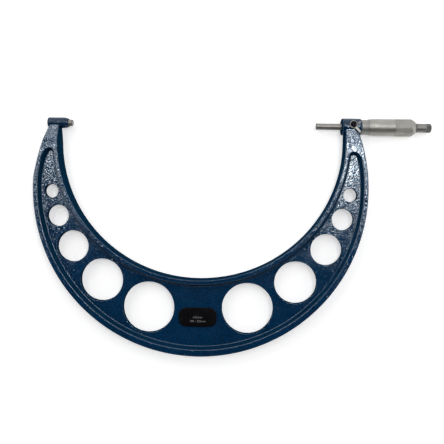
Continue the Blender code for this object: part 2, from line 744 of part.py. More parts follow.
def column_of(vert, facets):
    """Which facet edge of a turned piece a vertex stands on, counted round the X axis."""
    return round(math.atan2(vert.co.y, vert.co.z) / FULL_TURN * facets)


def press_in(vert, depth):
    """Move a vertex towards the X axis."""
    share = 1 - depth / math.hypot(vert.co.y, vert.co.z)
    vert.co.y *= share
    vert.co.z *= share


def press_knurl(bm, start):
    """Press in every other vertex of the thimble's grip, which leaves rows of small pyramids."""
    for vert in bm.verts:
        row = (vert.co.x - start) / KNURL_LENGTH * KNURL_ROWS
        outside = math.hypot(vert.co.y, vert.co.z) > KNURL_RADIUS - MERGE_DISTANCE
        in_band = 0.5 < row < KNURL_ROWS - 0.5
        if outside and in_band and (round(row) + column_of(vert, THIMBLE_FACETS)) % 2:
            press_in(vert, KNURL_DEPTH)


def build_thimble():
    """The thimble: bevelled front edge, plain barrel, knurled band and domed end."""
    start = THIMBLE_START
    end = start + THIMBLE_LENGTH
    bore = SLEEVE_RADIUS + FIT_GAP
    knurl_start = start + KNURL_START
    knurl_end = knurl_start + KNURL_LENGTH
    dome = end - knurl_end
    taper_end = TAPER_START + TAPER_LENGTH + FIT_GAP
    stem = STEM_RADIUS + FIT_GAP
    profile = [
        (start, bore),
        (start, bore + THIMBLE_LIP),
        (start + BEVEL_LENGTH / 2, (bore + THIMBLE_LIP + THIMBLE_RADIUS) / 2 + THIMBLE_LIP / 2),
        (start + BEVEL_LENGTH, THIMBLE_RADIUS),
        (knurl_start - THIMBLE_LIP, THIMBLE_RADIUS),
    ]
    step = KNURL_LENGTH / KNURL_ROWS
    profile += [(knurl_start + step * row, KNURL_RADIUS) for row in range(KNURL_ROWS + 1)]
    drop = KNURL_RADIUS - THIMBLE_END_RADIUS
    for share in (0.3, 0.55, 0.8, 1.0):
        x = knurl_end + dome * (1 - (1 - share) * (1 - share / 2))
        profile.append((x, KNURL_RADIUS - drop * share**1.4))
    profile += [
        (end, stem),
        (taper_end, stem),
        (taper_end, taper_radius(taper_end) + FIT_GAP),
        (THIMBLE_BORE_END, taper_radius(THIMBLE_BORE_END) + FIT_GAP),
        (THIMBLE_BORE_END, bore),
    ]
    bm = turned_mesh(profile, THIMBLE_FACETS)
    press_knurl(bm, knurl_start)
    add_object("thimble", bm, SATIN_STEEL, (start, 0, 0))


def tooth_stations():
    """Angle and height of each corner of the ratchet's ring of axial teeth."""
    pitch = FULL_TURN / RATCHET_TEETH
    stations = []
    for tooth in range(RATCHET_TEETH):
        stations.append((tooth * pitch, 0.0))
        stations.append(((tooth + RATCHET_GENTLE_SHARE) * pitch, RATCHET_TOOTH_HEIGHT))
    return stations


def toothed_ring(inner, outer, low, high):
    """A ring about the X axis whose faces stand at low(height) and high(height) round the teeth."""
    bm = bmesh.new()
    sections = []
    for angle, height in tooth_stations():
        y, z = math.sin(angle), math.cos(angle)
        corners = ((low(height), inner), (low(height), outer), (high(height), outer),
                   (high(height), inner))
        sections.append([bm.verts.new((x, radius * y, radius * z)) for x, radius in corners])
    for before, after in zip(sections, sections[1:] + sections[:1]):
        for i in range(4):
            bm.faces.new((before[i - 1], before[i], after[i], after[i - 1]))
    return bm


def build_ratchet():
    """The ratchet stop: fixed base with teeth, sliding crown, spring, knob and its screw."""
    thimble_end = THIMBLE_START + THIMBLE_LENGTH
    taper_end = TAPER_START + TAPER_LENGTH
    flange_start = thimble_end + SEAT_GAP
    flange_end = flange_start + RATCHET_FLANGE_THICKNESS
    valley = flange_end + SEAT_GAP
    crown_valley = valley + SEAT_GAP
    crown_end = valley + SEAT_GAP + CROWN_THICKNESS
    knob_start = thimble_end + KNOB_GAP
    knob_end = knob_start + KNOB_LENGTH
    recess_floor = knob_end - KNOB_RECESS_DEPTH
    wall_start = recess_floor - KNOB_END_WALL
    shank_end = recess_floor + SEAT_GAP
    screw_hole = RATCHET_SCREW_SHANK_RADIUS + FIT_GAP
    screw_hole_end = shank_end - RATCHET_SCREW_SHANK - SEAT_GAP
    profile = (
        (taper_end - STUD_HOLE_DEPTH + SEAT_GAP, 0),
        (taper_end - STUD_HOLE_DEPTH + SEAT_GAP, STUD_RADIUS),
        (taper_end + FIT_GAP, STUD_RADIUS),
        (taper_end + FIT_GAP, STEM_RADIUS),
        (flange_start, STEM_RADIUS),
        (flange_start, RATCHET_FLANGE_RADIUS),
        (flange_end, RATCHET_FLANGE_RADIUS),
        (flange_end, RATCHET_SHANK_RADIUS),
        (shank_end, RATCHET_SHANK_RADIUS),
        (shank_end, screw_hole),
        (screw_hole_end, screw_hole),
        (screw_hole_end, 0),
    )
    base = turned("ratchet_base", profile, GROUND_STEEL, SMALL_FACETS)
    teeth = toothed_ring(RATCHET_SHANK_RADIUS - SEAT_GAP, RATCHET_FLANGE_RADIUS - SEAT_GAP,
                         lambda height: flange_end - SEAT_GAP, lambda height: valley + height)
    join(base, add_object("base_teeth", teeth))

    crown = toothed_ring(CROWN_BORE_RADIUS, RATCHET_FLANGE_RADIUS,
                         lambda height: crown_valley + height, lambda height: crown_end)
    crown = add_object("ratchet_crown", crown, GROUND_STEEL, (crown_valley, 0, 0))
    keyways = bmesh.new()
    keyway = KEY_WIDTH / 2 + SEAT_GAP
    low = (crown_valley - CUT_MARGIN, -keyway, KNOB_BORE_RADIUS - KEY_DEPTH - SEAT_GAP)
    high = (crown_end + CUT_MARGIN, keyway, KNOB_BORE_RADIUS + CUT_MARGIN)
    for i in range(KEYS):
        add_box(keyways, low, high, Matrix.Rotation(FULL_TURN * i / KEYS, 4, "X"))
    cut(crown, add_object("crown_keyways", keyways))

    keys_start = valley + RATCHET_TOOTH_HEIGHT + SEAT_GAP
    build_knob(knob_start, knob_end, wall_start, recess_floor, keys_start)
    build_spring(crown_end + SEAT_GAP, wall_start - SEAT_GAP)
    build_ratchet_screw(shank_end + SEAT_GAP)


def build_knob(start, end, wall_start, recess_floor, keys_start):
    """The ratchet knob: a shell with a plain skirt, a groove and a ribbed grip band."""
    chamfer = 2 * KNOB_GROOVE_DEPTH
    band_end = end - chamfer
    band_start = band_end - KNOB_BAND_LENGTH
    groove_start = band_start - KNOB_GROOVE
    profile = (
        (start, KNOB_BORE_RADIUS),
        (start, KNOB_RADIUS - SEAT_GAP),
        (start + SEAT_GAP, KNOB_RADIUS),
        (groove_start - SEAT_GAP, KNOB_RADIUS),
        (groove_start, KNOB_RADIUS - KNOB_GROOVE_DEPTH),
        (band_start - SEAT_GAP, KNOB_RADIUS - KNOB_GROOVE_DEPTH),
        (band_start, KNOB_RADIUS),
        (band_start + SEAT_GAP, KNOB_RADIUS),
        (band_end - SEAT_GAP, KNOB_RADIUS),
        (band_end, KNOB_RADIUS),
        (end - KNOB_GROOVE_DEPTH / 2, KNOB_RADIUS - KNOB_GROOVE_DEPTH),
        (end, KNOB_RADIUS - chamfer),
        (end, KNOB_RECESS_RADIUS),
        (recess_floor, KNOB_RECESS_RADIUS),
        (recess_floor, RATCHET_SHANK_RADIUS + FIT_GAP),
        (wall_start, RATCHET_SHANK_RADIUS + FIT_GAP),
        (wall_start, KNOB_BORE_RADIUS),
    )
    bm = turned_mesh(profile, KNOB_FACETS)
    for vert in bm.verts:
        outside = math.hypot(vert.co.y, vert.co.z) > KNOB_RADIUS - MERGE_DISTANCE
        in_band = band_start + MERGE_DISTANCE < vert.co.x < band_end - MERGE_DISTANCE
        if outside and in_band and column_of(vert, KNOB_FACETS) % 2:
            press_in(vert, KNOB_RIB_DEPTH)
    knob = add_object("ratchet_knob", bm, SATIN_STEEL, (start, 0, 0))
    keys = bmesh.new()
    middle = (KNOB_BORE_RADIUS + KNOB_RADIUS) / 2
    low = (keys_start, -KEY_WIDTH / 2, KNOB_BORE_RADIUS - KEY_DEPTH)
    high = (wall_start + SEAT_GAP, KEY_WIDTH / 2, middle)
    for i in range(KEYS):
        add_box(keys, low, high, Matrix.Rotation(FULL_TURN * i / KEYS, 4, "X"))
    join(knob, add_object("knob_keys", keys))


def build_spring(start, end):
    """The spring that presses the crown's teeth into those of the base."""
    first = start + SPRING_WIRE_RADIUS
    rise = end - SPRING_WIRE_RADIUS - first
    count = SPRING_TURNS * SPRING_POINTS_PER_TURN
    curve = bpy.data.curves.new("ratchet_spring", "CURVE")
    curve.dimensions = "3D"
    curve.bevel_depth = SPRING_WIRE_RADIUS
    curve.bevel_resolution = 1
    curve.use_fill_caps = True
    spline = curve.splines.new("POLY")
    spline.points.add(count)
    for i, point in enumerate(spline.points):
        angle = FULL_TURN * i / SPRING_POINTS_PER_TURN
        y, z = SPRING_RADIUS * math.sin(angle), SPRING_RADIUS * math.cos(angle)
        point.co = (rise * i / count, y, z, 1)
    curve.materials.append(material(GROUND_STEEL))
    spring = bpy.data.objects.new("ratchet_spring", curve)
    spring.location = (first, 0, 0)
    PARTS.objects.link(spring)


def build_ratchet_screw(head_start):
    """The slotted screw in the knob's end that keeps the ratchet together."""
    head_end = head_start + RATCHET_SCREW_HEAD
    shank_start = head_start - RATCHET_SCREW_SHANK
    profile = (
        (shank_start, 0),
        (shank_start, RATCHET_SCREW_SHANK_RADIUS),
        (head_start, RATCHET_SCREW_SHANK_RADIUS),
        (head_start, RATCHET_SCREW_HEAD_RADIUS),
        (head_end, RATCHET_SCREW_HEAD_RADIUS),
        (head_end, 0),
    )
    screw = turned("ratchet_screw", profile, BLACK_STEEL, SMALL_FACETS)
    slot = bmesh.new()
    reach = RATCHET_SCREW_HEAD_RADIUS + CUT_MARGIN
    add_box(slot, (head_end - SLOT_DEPTH, -reach, -SLOT_WIDTH / 2),
            (head_end + CUT_MARGIN, reach, SLOT_WIDTH / 2))
    cut(screw, add_object("ratchet_screw_slot", slot))


def lever_outline():
    """The lock lever from above: a round eye with a straight arm and a round tip."""
    half = LOCK_LEVER_WIDTH / 2
    spread = math.asin(half / LOCK_EYE_RADIUS)
    points = []
    for i in range(FACETS + 1):
        angle = spread + (FULL_TURN - 2 * spread) * i / FACETS
        points.append((LOCK_EYE_RADIUS * math.cos(angle), LOCK_EYE_RADIUS * math.sin(angle)))
    tip = LOCK_LEVER_REACH - half
    for i in range(SMALL_FACETS // 3 + 1):
        angle = -math.pi / 2 + math.pi * i / (SMALL_FACETS // 3)
        points.append((tip + half * math.cos(angle), half * math.sin(angle)))
    turn = Matrix.Rotation(LOCK_LEVER_ANGLE, 2)
    return [Vector((LOCK_X, LOCK_Y)) + turn @ Vector(point) for point in points]


def build_lock():
    """The spindle lock: split bush, threaded pin, washer, lever and screw."""
    bush_start = HEAD_BOSS_START + FRONT_WALL + SEAT_GAP
    bush_end = bush_start + LOCK_BUSH_LENGTH
    inner = SPINDLE_RADIUS + FIT_GAP
    outer = inner + LOCK_BUSH_WALL
    profile = ((bush_start, inner), (bush_start, outer), (bush_end, outer), (bush_end, inner))
    bush = turned("lock_bush", profile, BRONZE)
    slit = bmesh.new()
    add_box(slit, (bush_start - CUT_MARGIN, -LOCK_BUSH_SLIT / 2, -outer - CUT_MARGIN),
            (bush_end + CUT_MARGIN, LOCK_BUSH_SLIT / 2, 0))
    cut(bush, add_object("lock_bush_slit", slit))

    pivot = (LOCK_X, LOCK_Y, 0)
    washer_low = LOCK_PAD_TOP + SEAT_GAP
    washer_high = washer_low + LOCK_WASHER_THICKNESS
    lever_low = washer_high + SEAT_GAP
    lever_high = lever_low + LOCK_LEVER_THICKNESS
    head_low = lever_high + SEAT_GAP
    head_high = head_low + LOCK_SCREW_HEAD
    pin_low = outer + SEAT_GAP
    pin_high = lever_high - SEAT_GAP
    screw_low = head_low - LOCK_SCREW_SHANK

    def upright(bm, radius, low, high):
        add_cylinder(bm, radius, (LOCK_X, LOCK_Y, low), (LOCK_X, LOCK_Y, high), SMALL_FACETS)

    def upright_cutter(name, radius, low, high):
        bm = bmesh.new()
        upright(bm, radius, low, high)
        return add_object(name, bm)

    bm = bmesh.new()
    upright(bm, LOCK_PIN_RADIUS, pin_low, pin_high)
    pin = add_object("lock_pin", bm, GROUND_STEEL, pivot)
    tapped = LOCK_SCREW_SHANK_RADIUS + FIT_GAP
    cut(pin, upright_cutter("lock_pin_tapping", tapped, screw_low - SEAT_GAP, head_high))

    eye_bore = LOCK_PIN_RADIUS + FIT_GAP
    bm = bmesh.new()
    upright(bm, LOCK_WASHER_RADIUS, washer_low, washer_high)
    washer = add_object("lock_washer", bm, GROUND_STEEL, pivot)
    cut(washer, upright_cutter("washer_bore", eye_bore, 0, head_high))

    bm = flat_mesh(lever_outline(), lever_low, lever_high)
    lever = add_object("lock_lever", bm, SATIN_STEEL, pivot)
    cut(lever, upright_cutter("lever_bore", eye_bore, 0, head_high))

    bm = bmesh.new()
    upright(bm, LOCK_SCREW_HEAD_RADIUS, head_low, head_high)
    screw = add_object("lock_screw", bm, BLACK_STEEL, pivot)
    shank_top = head_low + SEAT_GAP
    join(screw, upright_cutter("lock_screw_shank", LOCK_SCREW_SHANK_RADIUS, screw_low, shank_top))
    slot = bmesh.new()
    reach = LOCK_SCREW_HEAD_RADIUS + CUT_MARGIN
    add_box(slot, (LOCK_X - reach, LOCK_Y - SLOT_WIDTH / 2, head_high - SLOT_DEPTH),
            (LOCK_X + reach, LOCK_Y + SLOT_WIDTH / 2, head_high + CUT_MARGIN))
    cut(screw, add_object("lock_screw_slot", slot))


def build_set_screw():
    """The slotted set screw that holds the inner sleeve in the head boss."""
    bottom = math.sqrt(INNER_SLEEVE_RADIUS**2 - (SET_SCREW_Y - SET_SCREW_RADIUS) ** 2) + SEAT_GAP
    top = bottom + SET_SCREW_LENGTH
    bm = bmesh.new()
    add_cylinder(bm, SET_SCREW_RADIUS, (SET_SCREW_X, SET_SCREW_Y, bottom),
                 (SET_SCREW_X, SET_SCREW_Y, top), SMALL_FACETS)
    screw = add_object("sleeve_set_screw", bm, GROUND_STEEL, (SET_SCREW_X, SET_SCREW_Y, 0))
    slot = bmesh.new()
    reach = SET_SCREW_RADIUS + CUT_MARGIN
    add_box(slot, (SET_SCREW_X - reach, SET_SCREW_Y - SLOT_WIDTH / 2, top - SLOT_DEPTH),
            (SET_SCREW_X + reach, SET_SCREW_Y + SLOT_WIDTH / 2, top + CUT_MARGIN))
    cut(screw, add_object("set_screw_slot", slot))


def build_plate():
    """The black range plate on the front of the web, with round corners."""
    points = []
    centre_x, centre_y = lean((FRAME_CENTRE_X, PLATE_CENTRE_Y))
    half_width = PLATE_WIDTH / 2 - PLATE_CORNER
    half_height = PLATE_HEIGHT / 2 - PLATE_CORNER
    for corner, (side_x, side_y) in enumerate(((1, 1), (-1, 1), (-1, -1), (1, -1))):
        for i in range(PLATE_CORNER_SEGMENTS + 1):
            angle = math.pi / 2 * (corner + i / PLATE_CORNER_SEGMENTS)
            x = centre_x + side_x * half_width + PLATE_CORNER * math.cos(angle)
            y = centre_y + side_y * half_height + PLATE_CORNER * math.sin(angle)
            points.append((x, y))
    low = WEB_THICKNESS / 2 + SEAT_GAP
    bm = flat_mesh(points, low, low + PLATE_THICKNESS)
    add_object("range_plate", bm, BLACK_PLATE, (centre_x, centre_y, low))


clear_scene()
PARTS = new_collection("outside_micrometer")
CUTTERS = new_collection("cutters")
build_frame()
build_anvil()
build_spindle()
build_inner_sleeve()
build_graduated_sleeve()
build_thimble()
build_ratchet()
build_lock()
build_set_screw()
build_plate()
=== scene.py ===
"""The looks of an outside micrometer for 300 to 325 mm, which lies on its back on a pale floor.

Metres, +Z up. The origin is the centre of the anvil's measuring face, +X runs along the measuring
axis towards the ratchet, and the cast bow hangs towards -Y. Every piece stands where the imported
model has its solid, so the sizes below are those of the part.
"""
import logging
import math
from collections.abc import Callable, Iterable, Sequence
from dataclasses import dataclass
from enum import Enum

import bmesh
import bpy
from mathutils import Matrix, Vector
from mathutils.geometry import interpolate_bezier


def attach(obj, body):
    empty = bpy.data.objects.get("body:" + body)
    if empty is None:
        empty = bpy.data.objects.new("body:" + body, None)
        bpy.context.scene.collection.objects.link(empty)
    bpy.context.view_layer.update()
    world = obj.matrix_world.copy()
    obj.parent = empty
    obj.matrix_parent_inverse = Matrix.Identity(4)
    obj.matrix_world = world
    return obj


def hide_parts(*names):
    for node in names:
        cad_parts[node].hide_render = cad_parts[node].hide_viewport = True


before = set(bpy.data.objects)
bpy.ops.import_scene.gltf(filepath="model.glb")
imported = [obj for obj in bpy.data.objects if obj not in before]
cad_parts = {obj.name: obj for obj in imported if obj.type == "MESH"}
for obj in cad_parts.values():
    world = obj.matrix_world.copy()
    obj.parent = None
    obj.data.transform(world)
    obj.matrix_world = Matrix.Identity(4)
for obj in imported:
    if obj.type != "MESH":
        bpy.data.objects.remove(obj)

MM = 0.001
FULL_TURN = 2 * math.pi
WELD = 0.0008 * MM
SUPPORT = 0.08 * MM
ROUND_STEPS = 4
SHARP_ANGLE = math.radians(32)

Point = tuple[float, float]
Corner = tuple[float, float, float]
Socket = bpy.types.NodeSocket
Mesh = bmesh.types.BMesh

log = logging.getLogger("micrometer")


class Body(Enum):
    """The moving bodies of the part."""

    FRAME = "frame"
    SLEEVE = "sleeve"
    SPINDLE = "spindle"
    THIMBLE = "thimble"
    RATCHET = "ratchet"
    LOCK = "lock"


class Operation(Enum):
    """What a Boolean does with its tool."""

    ADD = "UNION"
    CUT = "DIFFERENCE"


class Grain(Enum):
    """Which way a metal was worked last."""

    TURNED = "turned"
    FACED = "faced"


# Nodes


@dataclass
class Bench:
    """A node tree with short ways to add and join its nodes."""

    tree: bpy.types.NodeTree

    def add(self, kind: str, **settings: object) -> bpy.types.Node:
        """Add a node.

        Args:
            kind: The node's type name.
            settings: Values for the node's own options.

        Returns:
            The new node.
        """
        node = self.tree.nodes.new(kind)
        for name, value in settings.items():
            setattr(node, name, value)
        return node

    def feed(self, socket: Socket, source: object) -> None:
        """Give a socket a constant, or a link from another socket."""
        if isinstance(source, bpy.types.NodeSocket):
            self.tree.links.new(source, socket)
        else:
            socket.default_value = source

    def math(self, operation: str, first: object, second: object = 0.0) -> Socket:
        """Combine two numbers.

        Args:
            operation: The Math node's operation.
            first: A number or a socket.
            second: A number or a socket.

        Returns:
            The result's socket.
        """
        node = self.add("ShaderNodeMath", operation=operation)
        self.feed(node.inputs[0], first)
        self.feed(node.inputs[1], second)
        return node.outputs[0]

    def vector(self, operation: str, first: object, second: object) -> Socket:
        """Combine two vectors.

        Args:
            operation: The Vector Math node's operation.
            first: A vector or a socket.
            second: A vector or a socket.

        Returns:
            The resulting vector's socket.
        """
        node = self.add("ShaderNodeVectorMath", operation=operation)
        self.feed(node.inputs[0], first)
        self.feed(node.inputs[1], second)
        return node.outputs["Vector"]

    def ramp(self, value: object, low: object, high: object, start: object = 0.0,
             end: object = 1.0) -> Socket:
        """Map a range smoothly onto another, with both ends held.

        Args:
            value: The number to map.
            low: Where the first range starts.
            high: Where the first range ends.
            start: What low becomes.
            end: What high becomes.

        Returns:
            The mapped number's socket.
        """
        node = self.add("ShaderNodeMapRange", interpolation_type="SMOOTHSTEP")
        for index, source in enumerate((value, low, high, start, end)):
            self.feed(node.inputs[index], source)
        return node.outputs["Result"]

    def noise(self, place: object, scale: object, detail: float = 2.0) -> Socket:
        """Add a noise pattern.

        Args:
            place: Where the pattern is read.
            scale: Cells per metre.
            detail: How many finer layers it has.

        Returns:
            The pattern's value.
        """
        node = self.add("ShaderNodeTexNoise")
        self.feed(node.inputs["Vector"], place)
        self.feed(node.inputs["Scale"], scale)
        self.feed(node.inputs["Detail"], detail)
        return node.outputs["Fac"]

    def mix(self, share: object, first: object, second: object) -> Socket:
        """Mix two colours.

        Args:
            share: How much of the second colour there is.
            first: A colour or a socket.
            second: A colour or a socket.

        Returns:
            The mixed colour's socket.
        """
        node = self.add("ShaderNodeMix", data_type="RGBA")
        self.feed(node.inputs[0], share)
        self.feed(node.inputs[6], first)
        self.feed(node.inputs[7], second)
        return node.outputs[2]

    def bump(self, height: object, distance: float) -> Socket:
        """Turn heights into a normal.

        Args:
            height: The height pattern.
            distance: How high a value of one stands, in metres.

        Returns:
            The normal's socket.
        """
        node = self.add("ShaderNodeBump")
        self.feed(node.inputs["Distance"], distance)
        self.feed(node.inputs["Height"], height)
        return node.outputs["Normal"]

    def place(self) -> Socket:
        """The position on the piece, in the model's own metres."""
        return self.add("ShaderNodeTexCoord").outputs["Object"]

    def seen(self) -> Socket:
        """One for the rays that look at a background, straight or by way of metal or glass."""
        path = self.add("ShaderNodeLightPath").outputs
        seen = self.math("MAXIMUM", path["Is Camera Ray"], path["Is Glossy Ray"])
        return self.math("MAXIMUM", seen, path["Is Transmission Ray"])

    def effect(self, tree: bpy.types.NodeTree, **inputs: object) -> bpy.types.Node:
        """Place a shared effect.

        Args:
            tree: The effect's node group.
            inputs: A value or socket for each named input.

        Returns:
            The placed group node.
        """
        node = self.add("ShaderNodeGroup", node_tree=tree)
        for name, source in inputs.items():
            self.feed(node.inputs[name], source)
        return node


class Effects:
    """Effects that several finishes share, each built once as a node group."""

    @staticmethod
    def start(name: str, inputs: dict[str, str], output: str) -> tuple[Bench, dict, Socket]:
        """Start a node group with one output.

        Args:
            name: The group's name.
            inputs: Socket type by input name.
            output: The output's name.

        Returns:
            The group's bench, its inputs by name and the socket that its result goes into.
        """
        made = bpy.data.node_groups.new(name, "ShaderNodeTree")
        for label, kind in inputs.items():
            made.interface.new_socket(label, in_out="INPUT", socket_type=f"NodeSocket{kind}")
        made.interface.new_socket(output, in_out="OUTPUT", socket_type="NodeSocketFloat")
        bench = Bench(made)
        given = dict(bench.add("NodeGroupInput").outputs.items())
        return bench, given, bench.add("NodeGroupOutput").inputs[output]

    @classmethod
    def mottle(cls) -> bpy.types.NodeTree:
        """Cloudy patches, for tarnish, handling marks and uneven paint."""
        if "mottle" in bpy.data.node_groups:
            return bpy.data.node_groups["mottle"]
        inputs = {"Place": "Vector", "Scale": "Float", "Low": "Float", "High": "Float"}
        bench, given, result = cls.start("mottle", inputs, "Value")
        cloud = bench.noise(given["Place"], given["Scale"], 4.0)
        bench.feed(result, bench.ramp(cloud, 0.32, 0.68, given["Low"], given["High"]))
        return bench.tree

    @classmethod
    def grain(cls) -> bpy.types.NodeTree:
        """Fine tool marks along one coordinate, broken up by grit."""
        if "tool_grain" in bpy.data.node_groups:
            return bpy.data.node_groups["tool_grain"]
        inputs = {"Along": "Float", "Place": "Vector", "Pitch": "Float"}
        bench, given, result = cls.start("tool_grain", inputs, "Height")
        rings = bench.add("ShaderNodeTexNoise", noise_dimensions="1D")
        bench.feed(rings.inputs["W"], given["Along"])
        bench.feed(rings.inputs["Scale"], given["Pitch"])
        bench.feed(rings.inputs["Detail"], 3.0)
        grit = bench.noise(given["Place"], bench.math("MULTIPLY", given["Pitch"], 1.5))
        bench.feed(result, bench.math("ADD", bench.math("MULTIPLY", rings.outputs["Fac"], 0.65),
                                      bench.math("MULTIPLY", grit, 0.35)))
        return bench.tree

    @classmethod
    def scuffs(cls) -> bpy.types.NodeTree:
        """Sparse hair scratches in two crossing directions, as a mask."""
        if "scuffs" in bpy.data.node_groups:
            return bpy.data.node_groups["scuffs"]
        inputs = {"Place": "Vector", "Amount": "Float"}
        bench, given, result = cls.start("scuffs", inputs, "Mask")
        total: object = 0.0
        for stretch in ((60.0, 1400.0, 1400.0), (1100.0, 90.0, 900.0)):
            hair = bench.noise(bench.vector("MULTIPLY", given["Place"], stretch), 1.0)
            total = bench.math("MAXIMUM", total, bench.ramp(hair, 0.64, 0.72))
        patches = bench.ramp(bench.noise(given["Place"], 70.0), 0.45, 0.65)
        mask = bench.math("MULTIPLY", total, patches)
        bench.feed(result, bench.math("MULTIPLY", mask, given["Amount"]))
        return bench.tree


# Finishes


@dataclass(frozen=True)
class Finish:
    """A surface finish. Each kind fills in its own nodes."""

    name: str
    slot: str
    colour: tuple[float, float, float]
    roughness: float

    def material(self) -> bpy.types.Material:
        """The finish's material, made the first time it is asked for."""
        found = bpy.data.materials.get(self.name)
        if found:
            return found
        made = bpy.data.materials.new(self.name)
        made.use_nodes = True
        shader = made.node_tree.nodes["Principled BSDF"]
        shader.inputs["Base Color"].default_value = self.shade(1.0)
        shader.inputs["Roughness"].default_value = self.roughness
        self.fill(Bench(made.node_tree), shader.inputs)
        return made

    def fill(self, bench: Bench, inputs: bpy.types.NodeInputs) -> None:
        """Add the nodes that give the finish its detail."""
        raise NotImplementedError

    def shade(self, share: float) -> tuple[float, float, float, float]:
        """The finish's colour, darkened or lightened by a factor."""
        return (*(min(1.0, part * share) for part in self.colour), 1.0)


@dataclass(frozen=True)
class HammeredEnamel(Finish):
    """Stove enamel that has drawn together into small cushions with a fine net between them."""

    cells: float = 340.0
    cushion: float = 0.105 * MM
    # net: how far the net between the cushions is darkened, as painted shade
    net: float = 0.6
    index: float = 1.9
    specular: float = 0.5

    def fill(self, bench: Bench, inputs: bpy.types.NodeInputs) -> None:
        """Cushions and net as height, painted shade darkening the net, and cloudy colour and
        gloss.
        """
        place = bench.place()
        drift = bench.add("ShaderNodeTexNoise")
        bench.feed(drift.inputs["Vector"], place)
        bench.feed(drift.inputs["Scale"], self.cells * 0.9)
        centred = bench.vector("SUBTRACT", drift.outputs["Color"], (0.5, 0.5, 0.5))
        bent = bench.vector("ADD", place, bench.vector("MULTIPLY", centred, (2.4 * MM,) * 3))
        cell = bench.add("ShaderNodeTexVoronoi", feature="DISTANCE_TO_EDGE")
        bench.feed(cell.inputs["Vector"], bent)
        bench.feed(cell.inputs["Scale"], self.cells)
        edge = cell.outputs["Distance"]
        groove = bench.math("MULTIPLY", bench.ramp(edge, 0.0, 0.2), 0.35)
        dome = bench.math("MULTIPLY", bench.ramp(edge, 0.0, 0.45), 0.6)
        fine = bench.math("MULTIPLY", bench.noise(bent, self.cells * 1.3), 0.5)
        height = bench.math("ADD", bench.math("ADD", groove, dome), fine)
        bench.feed(inputs["Normal"], bench.bump(height, self.cushion))

        cloud = bench.effect(Effects.mottle(), Place=place, Scale=24.0, Low=0.0, High=1.0)
        body = bench.mix(cloud.outputs["Value"], self.shade(0.9), self.shade(1.1))
        # Painted shade: the base colour darkens towards the net between the cushions.
        net = bench.ramp(edge, 0.0, 0.16, self.net, 0.0)
        bench.feed(inputs["Base Color"], bench.mix(net, body, self.shade(0.35)))
        gloss = bench.effect(Effects.mottle(), Place=place, Scale=60.0,
                             Low=self.roughness - 0.04, High=self.roughness + 0.06)
        bench.feed(inputs["Roughness"], gloss.outputs["Value"])
        bench.feed(inputs["IOR"], self.index)
        bench.feed(inputs["Specular IOR Level"], self.specular)
        bench.feed(inputs["Specular Tint"], (0.82, 0.93, 1.0, 1.0))


@dataclass(frozen=True)
class WorkedMetal(Finish):
    """Metal with fine tool marks, faint tarnish and a few hair scratches."""

    grain: Grain = Grain.TURNED
    centre: Point = (0.0, 0.0)
    pitch: float = 3200.0
    depth: float = 0.004 * MM
    tarnish: float = 0.12
    scratches: float = 0.5

    def fill(self, bench: Bench, inputs: bpy.types.NodeInputs) -> None:
        """Tool marks as height, with colour and roughness that follow them."""
        bench.feed(inputs["Metallic"], 1.0)
        place = bench.place()
        if self.grain is Grain.FACED:
            centred = bench.vector("SUBTRACT", place, (*self.centre, 0.0))
            flat = bench.vector("MULTIPLY", centred, (1.0, 1.0, 0.0))
            length = bench.add("ShaderNodeVectorMath", operation="LENGTH")
            bench.feed(length.inputs[0], flat)
            along = length.outputs["Value"]
        else:
            parts = bench.add("ShaderNodeSeparateXYZ")
            bench.feed(parts.inputs[0], place)
            along = parts.outputs["X"]
        marks = bench.effect(Effects.grain(), Along=along, Place=place, Pitch=self.pitch)
        height = marks.outputs["Height"]
        shine = bench.ramp(height, 0.3, 0.7)
        scuffs = bench.effect(Effects.scuffs(), Place=place, Amount=self.scratches)
        cloud = bench.effect(Effects.mottle(), Place=place, Scale=95.0, Low=0.0,
                             High=self.tarnish).outputs["Value"]
        fresh = bench.mix(shine, self.shade(0.92), self.shade(1.06))
        aged = bench.mix(cloud, fresh, self.shade(0.45))
        bench.feed(inputs["Base Color"],
                   bench.mix(scuffs.outputs["Mask"], aged, self.shade(1.25)))
        rough = bench.math("ADD", bench.math("MULTIPLY", cloud, 0.5),
                           bench.math("MULTIPLY", shine, 0.07))
        bench.feed(inputs["Roughness"], bench.math("ADD", rough, self.roughness - 0.035))
        bench.feed(inputs["Normal"], bench.bump(height, self.depth))


@dataclass(frozen=True)
class PlateLacquer(Finish):
    """Black lacquer on a thin metal plate, with fine orange peel and light handling wear."""

    specular: float = 0.12

    def fill(self, bench: Bench, inputs: bpy.types.NodeInputs) -> None:
        """Orange peel as height, with scuffs that are a little paler and duller."""
        place = bench.place()
        scuffs = bench.effect(Effects.scuffs(), Place=place, Amount=0.6)
        worn = tuple(part + 0.03 for part in self.colour)
        bench.feed(inputs["Base Color"],
                   bench.mix(scuffs.outputs["Mask"], self.shade(1.0), (*worn, 1.0)))
        gloss = bench.effect(Effects.mottle(), Place=place, Scale=120.0,
                             Low=self.roughness, High=self.roughness + 0.14)
        bench.feed(inputs["Roughness"], gloss.outputs["Value"])
        bench.feed(inputs["Normal"], bench.bump(bench.noise(place, 1500.0), 0.01 * MM))
        bench.feed(inputs["Specular IOR Level"], self.specular)


@dataclass(frozen=True)
class Ink(Finish):
    """Paint rubbed into engraved marks, slightly worn."""

    def fill(self, bench: Bench, inputs: bpy.types.NodeInputs) -> None:
        """Uneven paint, thinner in places."""
        wear = bench.effect(Effects.mottle(), Place=bench.place(), Scale=900.0, Low=0.0,
                            High=0.45)
        thin = tuple(part * 0.5 + 0.12 for part in self.colour)
        bench.feed(inputs["Base Color"],
                   bench.mix(wear.outputs["Value"], self.shade(1.0), (*thin, 1.0)))


